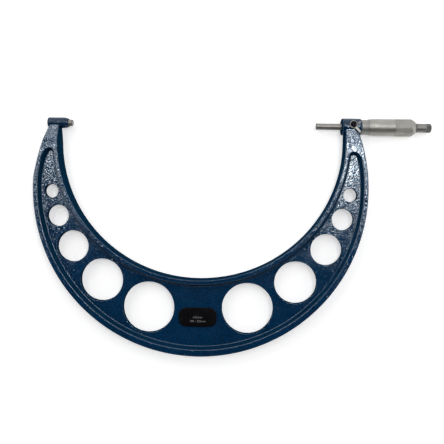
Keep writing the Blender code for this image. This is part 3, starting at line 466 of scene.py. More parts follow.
@dataclass(frozen=True)
class Paper(Finish):
    """The pale floor, which stays pale to the camera and in reflections and keeps shadows."""

    glow: float = 0.5
    far_glow: float = 1.0
    fade: Point = (0.5, 1.1)

    def fill(self, bench: Bench, inputs: bpy.types.NodeInputs) -> None:
        """Light of its own for rays that look at it, more far out, and a faint fibre."""
        bench.feed(inputs["Specular IOR Level"], 0.0)
        place = bench.place()
        fibre = bench.effect(Effects.mottle(), Place=place, Scale=240.0, Low=0.0, High=1.0)
        bench.feed(inputs["Base Color"],
                   bench.mix(fibre.outputs["Value"], self.shade(0.98), self.shade(1.02)))
        reach = bench.add("ShaderNodeVectorMath", operation="LENGTH")
        bench.feed(reach.inputs[0], bench.vector("SUBTRACT", place, (0.2, -0.14, 0.0)))
        glow = bench.ramp(reach.outputs["Value"], *self.fade, self.glow, self.far_glow)
        bench.feed(inputs["Emission Color"], (1.0, 1.0, 1.0, 1.0))
        bench.feed(inputs["Emission Strength"], bench.math("MULTIPLY", bench.seen(), glow))


LOCK_PLACE = (344.0 * MM, 1.6 * MM)
SET_SCREW_PLACE = (351.8 * MM, 4.5 * MM)

ENAMEL = HammeredEnamel("hammered_blue_enamel", "blue_hammer_enamel", (0.0005, 0.032, 0.094), 0.14)
# Painted shade: a copy of the enamel without sheen for the steep inner walls, which keeps them
# dark.
ENAMEL_SIDE_SHADED = HammeredEnamel("hammered_blue_enamel_side_painted_shade", "blue_hammer_enamel",
                             (0.004, 0.034, 0.080), 0.5, specular=0.0)
# Painted shade: a darker, less glossy copy of the enamel for the bosses.
ENAMEL_BOSS_SHADED = HammeredEnamel("hammered_blue_enamel_boss_painted_shade", "blue_hammer_enamel",
                             (0.001, 0.024, 0.068), 0.16, specular=0.2)
SATIN = WorkedMetal("satin_chrome_turned", "satin_chrome", (0.37, 0.36, 0.335), 0.42)
# Painted light: a paler copy of the satin chrome for the knurled grip.
KNURL_PAINTED_LIGHT = WorkedMetal("satin_chrome_knurled_painted_light", "satin_chrome", (0.43, 0.42, 0.39), 0.46)
# Painted shade: a darker copy of the satin chrome for the sleeve beside the boss.
SLEEVE_SHADED = WorkedMetal("satin_chrome_sleeve_painted_shade", "satin_chrome", (0.33, 0.325, 0.31), 0.46, tarnish=0.25)
GRIP = WorkedMetal("satin_chrome_grip", "satin_chrome", (0.25, 0.245, 0.235), 0.44, tarnish=0.25)
# Painted shade: a darker copy of the satin chrome for the ribbed band of the ratchet.
RIBBED_SHADED = WorkedMetal("satin_chrome_ribbed_painted_shade", "satin_chrome", (0.17, 0.17, 0.165), 0.40,
                     tarnish=0.25)
SATIN_FLAT = WorkedMetal("satin_chrome_faced", "satin_chrome", (0.48, 0.47, 0.45), 0.50,
                         grain=Grain.FACED, centre=LOCK_PLACE)
GROUND = WorkedMetal("ground_steel_turned", "ground_steel", (0.27, 0.26, 0.245), 0.42,
                     pitch=5200.0, depth=0.0008 * MM)
GROUND_FLAT = WorkedMetal("ground_steel_faced", "ground_steel", (0.40, 0.38, 0.36), 0.30,
                          grain=Grain.FACED, centre=LOCK_PLACE, depth=0.001 * MM)
SCREW_FLAT = WorkedMetal("ground_screw_faced", "ground_steel", (0.10, 0.10, 0.11), 0.30,
                         grain=Grain.FACED, centre=SET_SCREW_PLACE, depth=0.002 * MM)
HARD_METAL = WorkedMetal("carbide_lapped", "carbide", (0.16, 0.155, 0.15), 0.24, pitch=9000.0,
                         depth=0.001 * MM, tarnish=0.05, scratches=0.1)
BLACK_FLAT = WorkedMetal("black_oxide_faced", "black_oxide", (0.014, 0.014, 0.017), 0.45,
                         grain=Grain.FACED, centre=LOCK_PLACE, tarnish=0.3, scratches=0.8)
BLACK_TURNED = WorkedMetal("black_oxide_turned", "black_oxide", (0.030, 0.030, 0.034), 0.38,
                           tarnish=0.3, scratches=0.8)
BRONZE = WorkedMetal("turned_bronze", "bronze", (0.45, 0.28, 0.12), 0.34, tarnish=0.35)
LACQUER = PlateLacquer("plate_lacquer", "black_plate", (0.002, 0.002, 0.003), 0.34)
BLACK_INK = Ink("scale_ink", "black_oxide", (0.012, 0.012, 0.012), 0.5)
PALE_INK = Ink("plate_ink", "black_plate", (0.24, 0.23, 0.24), 0.5)
FLOOR_PAPER = Paper("pale_floor", "", (0.85, 0.85, 0.85), 0.9)


# Meshes


def new_object(name: str, bm: Mesh) -> bpy.types.Object:
    """Link a bmesh as an object at the origin, and free the bmesh.

    Args:
        name: The object's name.
        bm: The mesh, in the model's frame.

    Returns:
        The linked object.
    """
    mesh = bpy.data.meshes.new(name)
    bm.to_mesh(mesh)
    bm.free()
    obj = bpy.data.objects.new(name, mesh)
    bpy.context.scene.collection.objects.link(obj)
    return obj


def evaluated(obj: bpy.types.Object) -> Mesh:
    """Take what an object's modifiers or curve make as a bmesh, and remove the object.

    Args:
        obj: A linked object.

    Returns:
        The evaluated mesh, in the model's frame.
    """
    depsgraph = bpy.context.evaluated_depsgraph_get()
    mesh = bpy.data.meshes.new_from_object(obj.evaluated_get(depsgraph))
    bm = bmesh.new()
    bm.from_mesh(mesh)
    bpy.data.meshes.remove(mesh)
    bpy.data.objects.remove(obj, do_unlink=True)
    return bm


def combined(target: Mesh, tools: Iterable[Mesh], operation: Operation) -> Mesh:
    """Add tools to a shape or cut them out of it.

    Args:
        target: The closed shape.
        tools: Closed shapes, which are freed.
        operation: What is done with them.

    Returns:
        The combined shape.
    """
    base = new_object("base", target)
    cutters = [new_object("tool", tool) for tool in tools]
    for cutter in cutters:
        modifier = base.modifiers.new("combine", "BOOLEAN")
        modifier.operation = operation.value
        modifier.solver = "EXACT"
        modifier.object = cutter
    result = evaluated(base)
    for cutter in cutters:
        bpy.data.objects.remove(cutter, do_unlink=True)
    bmesh.ops.remove_doubles(result, verts=result.verts, dist=WELD)
    bmesh.ops.dissolve_degenerate(result, edges=result.edges, dist=WELD)
    slits = [edge for edge in result.edges if edge.is_boundary]
    bmesh.ops.holes_fill(result, edges=slits, sides=0)
    return result


def closed(bm: Mesh) -> Mesh:
    """Merge doubles and turn every face outwards.

    Args:
        bm: The shape.

    Returns:
        The same shape.
    """
    bmesh.ops.remove_doubles(bm, verts=bm.verts, dist=WELD)
    bmesh.ops.recalc_face_normals(bm, faces=bm.faces)
    return bm


def merged(shapes: Iterable[Mesh]) -> Mesh:
    """Put several shapes into one mesh.

    Args:
        shapes: The shapes, which are freed.

    Returns:
        One mesh that holds them all.
    """
    total = bmesh.new()
    for shape in shapes:
        carrier = bpy.data.meshes.new("shape")
        shape.to_mesh(carrier)
        shape.free()
        total.from_mesh(carrier)
        bpy.data.meshes.remove(carrier)
    return total


def soft_corner(before: Vector, here: Vector, after: Vector, size: float) -> list[Vector]:
    """Round one corner of a line, with a support point on either side.

    Args:
        before: The corner before.
        here: The corner itself.
        after: The corner after.
        size: How far the rounding reaches along both sides.

    Returns:
        The points that replace the corner.
    """
    way_in, way_out = (before - here).normalized(), (after - here).normalized()
    start, end = here + way_in * size, here + way_out * size
    points = [here + way_in * (size + SUPPORT)]
    for step in range(ROUND_STEPS + 1):
        share = step / ROUND_STEPS
        points.append(start.lerp(here, share).lerp(here.lerp(end, share), share))
    return points + [here + way_out * (size + SUPPORT)]


def soft_line(corners: Sequence[Corner]) -> list[Point]:
    """Round the corners of a turned profile.

    Args:
        corners: Position along the axis, radius and rounding of each corner, in millimetres. A
            profile that starts off the axis is a closed ring.

    Returns:
        The points of the rounded profile, in metres.
    """
    count = len(corners)
    points: list[Point] = []
    for index, (x, radius, size) in enumerate(corners):
        if size <= 0:
            points.append((x * MM, radius * MM))
            continue
        before = Vector(corners[index - 1][:2]) * MM
        after = Vector(corners[(index + 1) % count][:2]) * MM
        rounded = soft_corner(before, Vector((x, radius)) * MM, after, size * MM)
        points += [tuple(point) for point in rounded]
    return points


def lathe(profile: Sequence[Point], steps: int) -> Mesh:
    """Spin a profile of positions and radii about the X axis.

    Args:
        profile: The profile's points. One that starts off the axis is a closed ring.
        steps: How many faces go round.

    Returns:
        The closed turned shape.
    """
    bm = bmesh.new()
    verts = [bm.verts.new((x, 0.0, radius)) for x, radius in profile]
    pairs = list(zip(verts, verts[1:]))
    if profile[0][1] > 0:
        pairs.append((verts[-1], verts[0]))
    for pair in pairs:
        bm.edges.new(pair)
    bmesh.ops.spin(bm, geom=bm.verts[:] + bm.edges[:], cent=(0, 0, 0), axis=(1, 0, 0),
                   dvec=(0, 0, 0), angle=FULL_TURN, steps=steps, use_merge=True)
    return closed(bm)


def upright(bm: Mesh, place: Point) -> Mesh:
    """Stand a shape turned about the X axis up on Z, over a place.

    Args:
        bm: The turned shape.
        place: Where its axis stands.

    Returns:
        The same shape.
    """
    bm.transform(Matrix.Translation((*place, 0.0)) @ Matrix.Rotation(-math.pi / 2, 4, "Y"))
    return bm


def block(low: Sequence[float], high: Sequence[float]) -> Mesh:
    """A box between two corners.

    Args:
        low: The lowest corner, in metres.
        high: The highest corner, in metres.

    Returns:
        The box.
    """
    bm = bmesh.new()
    low, high = Vector(low), Vector(high)
    size = Matrix.Diagonal((*(high - low), 1.0))
    bmesh.ops.create_cube(bm, size=1.0, matrix=Matrix.Translation((low + high) / 2) @ size)
    return bm


def slab(outline: Sequence[Point], low: float, high: float, bevel: float) -> Mesh:
    """A flat piece with softened rims.

    Args:
        outline: The piece from above.
        low: Its underside.
        high: Its top.
        bevel: How far its edges are taken down.

    Returns:
        The closed piece.
    """
    bm = bmesh.new()
    face = bm.faces.new([bm.verts.new((x, y, low)) for x, y in outline])
    raised = bmesh.ops.extrude_face_region(bm, geom=[face])["geom"]
    verts = [part for part in raised if isinstance(part, bmesh.types.BMVert)]
    bmesh.ops.translate(bm, verts=verts, vec=(0, 0, high - low))
    bmesh.ops.recalc_face_normals(bm, faces=bm.faces)
    rims = [edge for edge in bm.edges if abs(edge.verts[0].co.z - edge.verts[1].co.z) < WELD]
    bmesh.ops.bevel(bm, geom=rims, offset=bevel, segments=3, profile=0.5, affect="EDGES",
                    material=-1)
    return closed(bm)


def finish_piece(name: str, bm: Mesh, finish: Finish, body: Body, stands_for: str = "",
                 others: Sequence[Finish] = (),
                 choose: Callable[[bpy.types.MeshPolygon], int] = int) -> bpy.types.Object:
    """Shade a piece, give it its finish and let it ride on its body.

    Args:
        name: The piece's name.
        bm: Its mesh, in the model's frame.
        finish: Its finish.
        body: The body that it moves with.
        stands_for: The CAD node that it replaces, if there is one.
        others: Further finishes, for some of its faces.
        choose: Gives zero for a face with the first finish, one for the next, and so on.

    Returns:
        The finished piece.
    """
    obj = new_object(name, bm)
    obj.data.shade_smooth()
    obj.data.set_sharp_from_angle(angle=SHARP_ANGLE)
    obj.data.materials.append(finish.material())
    for other in others:
        obj.data.materials.append(other.material())
    for face in obj.data.polygons if others else ():
        face.material_index = choose(face)
    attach(obj, body.value)
    if stands_for:
        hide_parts(stands_for)
    log.info("%s: %d faces, rides on %s", name, len(obj.data.polygons), body.value)
    return obj


def repaint(node: str, finish: Finish) -> None:
    """Give a CAD node that stays a better material.

    Args:
        node: The node's name.
        finish: Its finish.
    """
    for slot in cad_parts[node].material_slots:
        slot.material = finish.material()
    log.info("%s: kept, finished as %s", node, finish.name)


@dataclass(frozen=True)
class Lettering:
    """Plain numbers and marks, as thin closed shapes that stand just proud of a surface."""

    proud: float = 0.015 * MM
    sunk: float = 0.06 * MM

    def words(self, text: str, height: float) -> Mesh:
        """Letters that lie flat, centred on the origin.

        Args:
            text: What is written.
            height: How tall the letters are.

        Returns:
            The letters, with their tops at the proud height.
        """
        curve = bpy.data.curves.new("words", "FONT")
        curve.body = text
        curve.size = height * 1.38
        curve.align_x = "CENTER"
        curve.align_y = "CENTER"
        curve.extrude = (self.proud + self.sunk) / 2
        curve.resolution_u = 4
        obj = bpy.data.objects.new("words", curve)
        bpy.context.scene.collection.objects.link(obj)
        bm = evaluated(obj)
        bpy.data.curves.remove(curve)
        bmesh.ops.translate(bm, verts=bm.verts, vec=(0, 0, (self.proud - self.sunk) / 2))
        return closed(bm)

    def stroke(self, along: float, across: float) -> Mesh:
        """A straight mark that lies flat, centred on the origin."""
        return block((-along / 2, -across / 2, -self.sunk), (along / 2, across / 2, self.proud))

    def wrapped(self, shape: Mesh, x: float, angle: float,
                radius_at: Callable[[float], float]) -> Mesh:
        """Wrap a flat shape round the X axis.

        Args:
            shape: The flat shape, centred on the origin.
            x: Where its centre goes along the axis.
            angle: How far round it goes, from +Z towards +Y.
            radius_at: The surface's radius at a place along the axis.

        Returns:
            The same shape, wrapped.
        """
        span = max(abs(vert.co.y) for vert in shape.verts)
        for cut in range(-3, 4):
            geometry = shape.verts[:] + shape.edges[:] + shape.faces[:]
            bmesh.ops.bisect_plane(shape, geom=geometry, plane_co=(0, span * cut / 4, 0),
                                   plane_no=(0, 1, 0))
        for vert in shape.verts:
            radius = radius_at(x + vert.co.x)
            turn = angle + vert.co.y / radius
            height = radius + vert.co.z
            vert.co = (x + vert.co.x, height * math.sin(turn), height * math.cos(turn))
        return shape


LETTERS = Lettering()


# The bow


@dataclass(frozen=True)
class Bow:
    """The cast bow: an I section between an outer circle and an inner half ellipse."""

    centre_x: float = 160.0 * MM
    thickness: float = 22.0 * MM
    outer_radius: float = 204.7 * MM
    outer_y: float = -79.1 * MM
    throat_half_width: float = 174.7 * MM
    throat_depth: float = 170.1 * MM
    throat_y: float = -20.0 * MM
    throat_lean: float = 0.01
    arm_top: float = -3.0 * MM
    arm_width: float = 30.1 * MM
    anvil_draw_in: float = 3.0 * MM
    draw_in_length: float = 65.0 * MM
    draft: float = 0.5 * MM
    edge_round: float = 1.4 * MM
    web: float = 7.0 * MM
    pocket_radius: float = 198.8 * MM
    pocket_y: float = -76.5 * MM
    inner_rim: float = 5.4 * MM
    inner_rim_at_base: float = 5.8 * MM
    pocket_draft: float = 3.0 * MM
    pocket_outer_top: float = -46.0 * MM
    pocket_inner_top: float = -38.5 * MM
    pocket_outer_handle: float = 18.0 * MM
    pocket_inner_handle: float = 9.0 * MM
    pocket_lip: float = 1.2 * MM
    pocket_fillet: float = 1.0 * MM
    holes: tuple[Corner, ...] = ((-23.95, -84.21, 8.40), (343.19, -84.21, 8.40),
                                 (-15.61, -114.30, 13.21), (334.25, -114.30, 13.21),
                                 (3.21, -151.67, 19.26), (314.68, -151.67, 19.26),
                                 (39.55, -192.54, 25.95), (277.52, -192.54, 25.95),
                                 (97.56, -225.33, 31.33), (218.85, -225.33, 31.33))
    hole_lip: float = 0.6 * MM
    steep: float = 0.7
    inner: float = 11.0 * MM
    outer_steps: int = 168
    inner_steps: int = 108
    end_steps: int = 20
    hole_steps: int = 72
    anvil_neck: float = 24.0 * MM
    anvil_meets: float = 5.6 * MM
    head_neck: float = 20.0 * MM
    head_meets: float = 9.85 * MM
    neck_cuts: int = 16
    anvil_boss: tuple[Corner, ...] = ((-29.6, 0, 0), (-29.6, 6.6, 1.6), (-8.2, 6.6, 1.5),
                                      (-4.6, 5.0, 0.6), (-4.6, 0, 0))
    head_boss: tuple[Corner, ...] = ((331.5, 0, 0), (331.5, 10.6, 1.6), (355.2, 10.6, 1.6),
                                     (355.2, 0, 0))
    pad: tuple[Corner, ...] = ((0, 0, 0), (0, 4.6, 0), (11.1, 4.6, 0.5), (11.1, 0, 0))
    anvil_bore: tuple[Corner, ...] = ((-26.0, 0, 0), (-26.0, 4.3, 0), (2.0, 4.3, 0), (2.0, 0, 0))
    head_bore: tuple[Corner, ...] = ((329.5, 0, 0), (329.5, 4.3, 0), (336.8, 4.3, 0),
                                     (336.8, 6.9, 0), (349.7, 6.9, 0), (349.7, 7.3, 0),
                                     (357.2, 7.3, 0), (357.2, 0, 0))
    pin_hole: tuple[Corner, ...] = ((4.0, 0, 0), (4.0, 2.3, 0), (13.1, 2.3, 0), (13.1, 0, 0))
    screw_hole: tuple[Corner, ...] = ((4.0, 0, 0), (4.0, 2.2, 0), (13.1, 2.2, 0), (13.1, 0, 0))

    def draw_in(self, point: Point) -> Point:
        """Slim the anvil's arm towards its boss, more at the outer edge than at the throat."""
        x, y = point
        share = max(0.0, ((self.centre_x - self.throat_half_width) - x) / self.arm_width)
        fade = max(0.0, 1 - (self.arm_top - y) / self.draw_in_length)
        return (x + 2 * self.anvil_draw_in * share * fade, y)

    def lean(self, point: Point) -> Point:
        """Move a point of the throat's side towards the anvil, the further the deeper it lies."""
        x, y = point
        return (x + self.throat_lean * min(0.0, y - self.pocket_outer_top), y)

    def outline(self, inset: float) -> list[Point]:
        """The bow's outline: the outer edge from anvil to head, then the throat.

        Args:
            inset: How far the outline is drawn in.

        Returns:
            The outline's points.
        """
        radius = self.outer_radius - inset
        top = math.asin((self.arm_top - self.outer_y) / radius)
        points = []
        for step in range(self.outer_steps + 1):
            angle = math.pi - top + (math.pi + 2 * top) * step / self.outer_steps
            points.append((self.centre_x + radius * math.cos(angle),
                           self.outer_y + radius * math.sin(angle)))
        half, depth = self.throat_half_width + inset, self.throat_depth + inset
        points.append((self.centre_x + half, self.arm_top))
        for step in range(self.inner_steps + 1):
            angle = -math.pi * step / self.inner_steps
            points.append(self.lean((self.centre_x + half * math.cos(angle),
                                     self.throat_y + depth * math.sin(angle))))
        points.append((self.centre_x - half, self.arm_top))
        return [self.draw_in(point) for point in points]

    def pocket(self, inset: float) -> list[Point]:
        """The edge of the pocket, with its two rounded upper ends.

        Args:
            inset: How far the edge is drawn in. Below zero it is let out.

        Returns:
            The points of the edge.
        """
        radius = self.pocket_radius - inset
        half = self.throat_half_width + self.inner_rim + inset
        depth = self.throat_depth + self.inner_rim_at_base + inset
        outer = math.asin((self.pocket_outer_top - self.pocket_y) / radius)
        inner = math.asin((self.pocket_inner_top - self.throat_y) / depth)

        high = Vector((radius * math.cos(outer), self.pocket_outer_top, 0))
        low = Vector((half * math.cos(inner), self.pocket_inner_top, 0))
        high_way = Vector((-math.sin(outer), math.cos(outer), 0))
        low_way = Vector((-half * math.sin(inner), depth * math.cos(inner), 0)).normalized()
        end = interpolate_bezier(high, high + high_way * (self.pocket_outer_handle - inset),
                                 low + low_way * (self.pocket_inner_handle - inset), low,
                                 self.end_steps + 1)

        points = []
        for step in range(1, self.outer_steps):
            angle = math.pi - outer + (math.pi + 2 * outer) * step / self.outer_steps
            points.append((self.centre_x + radius * math.cos(angle),
                           self.pocket_y + radius * math.sin(angle)))
        points += [(self.centre_x + point.x, point.y) for point in end]
        for step in range(1, self.inner_steps):
            angle = inner - (math.pi + 2 * inner) * step / self.inner_steps
            points.append(self.lean((self.centre_x + half * math.cos(angle),
                                     self.throat_y + depth * math.sin(angle))))
        points += [(self.centre_x - point.x, point.y) for point in reversed(end)]
        return [self.draw_in(point) for point in points]

    def wall(self, bm: Mesh, shape: Callable[[float], list[Point]],
             line: Sequence[Sequence[float]]) -> tuple[list, list]:
        """Extrude a closed line into a wall, step by step.

        Args:
            bm: The mesh it goes into.
            shape: Gives the outline for an inset.
            line: The inset and height of each line of the wall.

        Returns:
            The edges of its first and last line.
        """
        inset, z = line[0]
        verts = [bm.verts.new((x, y, z)) for x, y in shape(inset)]
        edges = [bm.edges.new((verts[index - 1], vert)) for index, vert in enumerate(verts)]
        first = edges
        for inset, z in line[1:]:
            grown = bmesh.ops.extrude_edge_only(bm, edges=edges)["geom"]
            raised = {part for part in grown if isinstance(part, bmesh.types.BMVert)}
            verts = [next(edge.other_vert(vert) for edge in vert.link_edges
                          if edge.other_vert(vert) in raised) for vert in verts]
            for vert, (x, y) in zip(verts, shape(inset)):
                vert.co = (x, y, z)
            edges = [part for part in grown if isinstance(part, bmesh.types.BMEdge)
                     and raised.issuperset(part.verts)]
        return first, edges

    def half_shell(self) -> Mesh:
        """The front half of the bow, open at its middle plane."""
        bm = bmesh.new()
        half, floor = self.thickness / 2, self.web / 2
        shoulder, rim = Vector((self.draft, half)), Vector((self.draft + 4 * MM, half))
        side = [Vector((0.0, 0.0))]
        side += soft_corner(Vector((self.draft, 0.0)), shoulder, rim, self.edge_round)
        flat = self.wall(bm, self.outline, side)[1]

        lip, foot = Vector((0.0, half)), Vector((self.pocket_draft, floor))
        way_down = soft_corner(Vector((-4 * MM, half)), lip, foot, self.pocket_lip)
        way_down += soft_corner(lip, foot, Vector((9 * MM, floor)), self.pocket_fillet)
        opening, web = self.wall(bm, self.pocket, way_down)
        bmesh.ops.triangle_fill(bm, edges=flat + opening, use_beauty=True, normal=(0, 0, 1))

        edge = Vector((0.0, floor))
        around = soft_corner(Vector((4 * MM, floor)), edge, Vector((0.0, 0.0)), self.hole_lip)
        around.append(Vector((0.0, 0.0)))
        for hole in self.holes:
            web += self.wall(bm, lambda inset, hole=hole: self.ring(hole, inset), around)[0]
        bmesh.ops.triangle_fill(bm, edges=web, use_beauty=True, normal=(0, 0, 1))
        return bm

    def ring(self, hole: Corner, inset: float) -> list[Point]:
        """A lightening hole's edge, let out by an inset.

        Args:
            hole: The hole's place and radius in millimetres.
            inset: How far its edge is let out.

        Returns:
            The points of the edge.
        """
        x, y, radius = (size * MM for size in hole)
        turns = [FULL_TURN * step / self.hole_steps for step in range(self.hole_steps)]
        return [(x + (radius + inset) * math.cos(turn), y + (radius + inset) * math.sin(turn))
                for turn in turns]

    def slope_necks(self, bm: Mesh) -> None:
        """Slope the arms' faces down to the roundness of their bosses."""
        half = self.thickness / 2
        longest = max(self.anvil_neck, self.head_neck)
        for step in range(1, self.neck_cuts + 1):
            y = self.arm_top - longest * step / self.neck_cuts
            geometry = bm.verts[:] + bm.edges[:] + bm.faces[:]
            bmesh.ops.bisect_plane(bm, geom=geometry, plane_co=(0, y, 0), plane_no=(0, 1, 0))
        for vert in bm.verts:
            at_anvil = vert.co.x < self.centre_x
            length = self.anvil_neck if at_anvil else self.head_neck
            meets = self.anvil_meets if at_anvil else self.head_meets
            share = (vert.co.y - self.arm_top) / length + 1
            if share > 0:
                eased = share * share * (2 - share)
                vert.co.z *= 1 - (1 - meets / half) * eased

    def casting(self) -> Mesh:
        """The whole bow with its bosses, pad and bores."""
        bm = self.half_shell()
        self.slope_necks(bm)
        bmesh.ops.mirror(bm, geom=bm.verts[:] + bm.edges[:] + bm.faces[:], axis="Z",
                         merge_dist=-1)
        closed(bm)
        bosses = [lathe(soft_line(self.anvil_boss), 96), lathe(soft_line(self.head_boss), 128),
                  upright(lathe(soft_line(self.pad), 96), LOCK_PLACE)]
        bm = combined(bm, bosses, Operation.ADD)
        bores = [lathe(soft_line(self.anvil_bore), 96), lathe(soft_line(self.head_bore), 96),
                 upright(lathe(soft_line(self.pin_hole), 64), LOCK_PLACE),
                 upright(lathe(soft_line(self.screw_hole), 64), SET_SCREW_PLACE)]
        return combined(bm, bores, Operation.CUT)

    def choose(self, face: bpy.types.MeshPolygon) -> int:
        """Which enamel a face has: full; a copy without sheen on steep inner walls, as painted
        shade; or a darker, less glossy copy on a boss, as painted shade.
        """
        across, up = face.center.x - self.centre_x, face.center.y - self.outer_y
        boss = self.head_boss if across > 0 else self.anvil_boss
        if math.hypot(face.center.y, face.center.z) < boss[1][1] * MM + WELD:
            is_end = abs(face.normal.x) > self.steep
            return int(face.normal.x * across < 0) if is_end else 2
        inwards = face.normal.x * across + face.normal.y * up < 0
        half, depth = self.throat_half_width + self.inner, self.throat_depth + self.inner
        by_throat = math.hypot(across / half, (face.center.y - self.throat_y) / depth) < 1
        in_hole = abs(face.center.z) < self.web / 2 and face.center.y < self.pocket_inner_top
        inner = inwards or by_throat or in_hole
        return int(inner and abs(face.normal.z) < self.steep)

    def build(self) -> None:
        """Build and dress the bow."""
        finish_piece("bow_casting", self.casting(), ENAMEL, Body.FRAME, "frame",
                     (ENAMEL_SIDE_SHADED, ENAMEL_BOSS_SHADED), self.choose)


@dataclass(frozen=True)
class MeasuringFaces:
    """The anvil pin and the spindle, each with a hard tip."""

    anvil: tuple[Corner, ...] = ((-25.7, 0, 0), (-25.7, 3.6, 0.08), (-25.3, 4.0, 0.08),
                                 (-1.1, 4.0, 0.05), (-1.1, 0, 0))
    anvil_tip: tuple[Corner, ...] = ((-1.0, 0, 0), (-1.0, 4.0, 0.04), (-0.4, 4.0, 0.08),
                                     (0, 3.6, 0.08), (0, 0, 0))
    spindle_tip: tuple[Corner, ...] = ((300.0, 0, 0), (300.0, 3.6, 0.08), (300.4, 4.0, 0.08),
                                       (301.0, 4.0, 0.04), (301.0, 0, 0))
    rod: tuple[Corner, ...] = ((301.1, 0, 0), (301.1, 4.0, 0.05), (361.0, 4.0, 0))
    tail: tuple[Corner, ...] = ((400.0, 4.2, 0), (400.0, 3.5, 0), (403.5, 3.5, 0),
                                (403.5, 5.0, 0.1), (413.0, 4.15, 0.1), (413.0, 2.1, 0),
                                (405.0, 2.1, 0), (405.0, 0, 0))
    thread_start: float = 361.0
    thread_end: float = 400.0
    thread_pitch: float = 0.5
    crest: float = 4.2
    root: float = 4.0

    def spindle_line(self) -> list[Point]:
        """The spindle's profile, with a groove for each turn of its screw."""
        count = round((self.thread_end - self.thread_start) / self.thread_pitch)
        thread = []
        for turn in range(count):
            x = self.thread_start + turn * self.thread_pitch
            thread += [(x * MM, self.crest * MM),
                       ((x + self.thread_pitch / 2) * MM, self.root * MM)]
        return soft_line(self.rod) + thread + soft_line(self.tail)

    def build(self) -> None:
        """Build and dress the anvil and the spindle."""
        finish_piece("anvil_pin", lathe(soft_line(self.anvil), 96), GROUND, Body.FRAME, "anvil")
        finish_piece("anvil_tip", lathe(soft_line(self.anvil_tip), 96), HARD_METAL, Body.FRAME,
                     "anvil_face")
        finish_piece("spindle_rod", lathe(self.spindle_line(), 96), GROUND, Body.SPINDLE,
                     "spindle")
        finish_piece("spindle_tip", lathe(soft_line(self.spindle_tip), 96), HARD_METAL,
                     Body.SPINDLE, "spindle_face")


@dataclass(frozen=True)
class GraduatedSleeve:
    """The sleeve with its millimetre scale and the hole for setting zero."""

    shell: tuple[Corner, ...] = ((355.5, 7.3, 0.1), (355.5, 9.2, 0.25), (391.8, 9.2, 0.25),
                                 (391.8, 7.3, 0.1))
    radius: float = 9.2 * MM
    hole: tuple[Corner, ...] = ((-12.0, 0, 0), (-12.0, 0.8, 0), (-8.0, 0.8, 0), (-8.0, 0, 0))
    hole_place: Point = (359.5 * MM, 0.0)
    zero: float = 364.7 * MM
    travel: int = 25
    line: float = 0.13 * MM
    short: float = 1.7 * MM
    long: float = 2.8 * MM
    number: float = 1.9 * MM
    number_out: float = 4.3 * MM
    number_back: float = 1.3 * MM
    datum_lead: float = 1.4 * MM

    def scale(self) -> Mesh:
        """The datum line, whole millimetres above it, halves below it, and numbers."""
        length = self.travel * MM + self.datum_lead + 0.8 * MM
        middle = self.zero - self.datum_lead + length / 2
        marks = [LETTERS.wrapped(LETTERS.stroke(length, self.line), middle, 0.0, self.surface)]
        for half in range(2 * self.travel + 1):
            x = self.zero + half * MM / 2
            tall = self.long if half % 10 == 0 else self.short
            way = 1 if half % 2 == 0 else -1
            angle = way * tall / 2 / self.radius
            marks.append(LETTERS.wrapped(LETTERS.stroke(self.line, tall), x, angle, self.surface))
        for number in range(0, self.travel + 1, 5):
            x = self.zero + number * MM - self.number_back
            shape = LETTERS.words(str(number), self.number)
            marks.append(LETTERS.wrapped(shape, x, self.number_out / self.radius, self.surface))
        return merged(marks)

    def surface(self, x: float) -> float:
        """The sleeve's radius, which is the same all along it."""
        return self.radius

    def build(self) -> None:
        """Build and dress the sleeve and its scale."""
        shell = lathe(soft_line(self.shell), 144)
        drill = upright(lathe(soft_line(self.hole), 48), self.hole_place)
        finish_piece("scale_sleeve", combined(shell, [drill], Operation.CUT), SLEEVE_SHADED, Body.SLEEVE,
                     "graduated_sleeve")
        finish_piece("sleeve_scale", self.scale(), BLACK_INK, Body.SLEEVE)


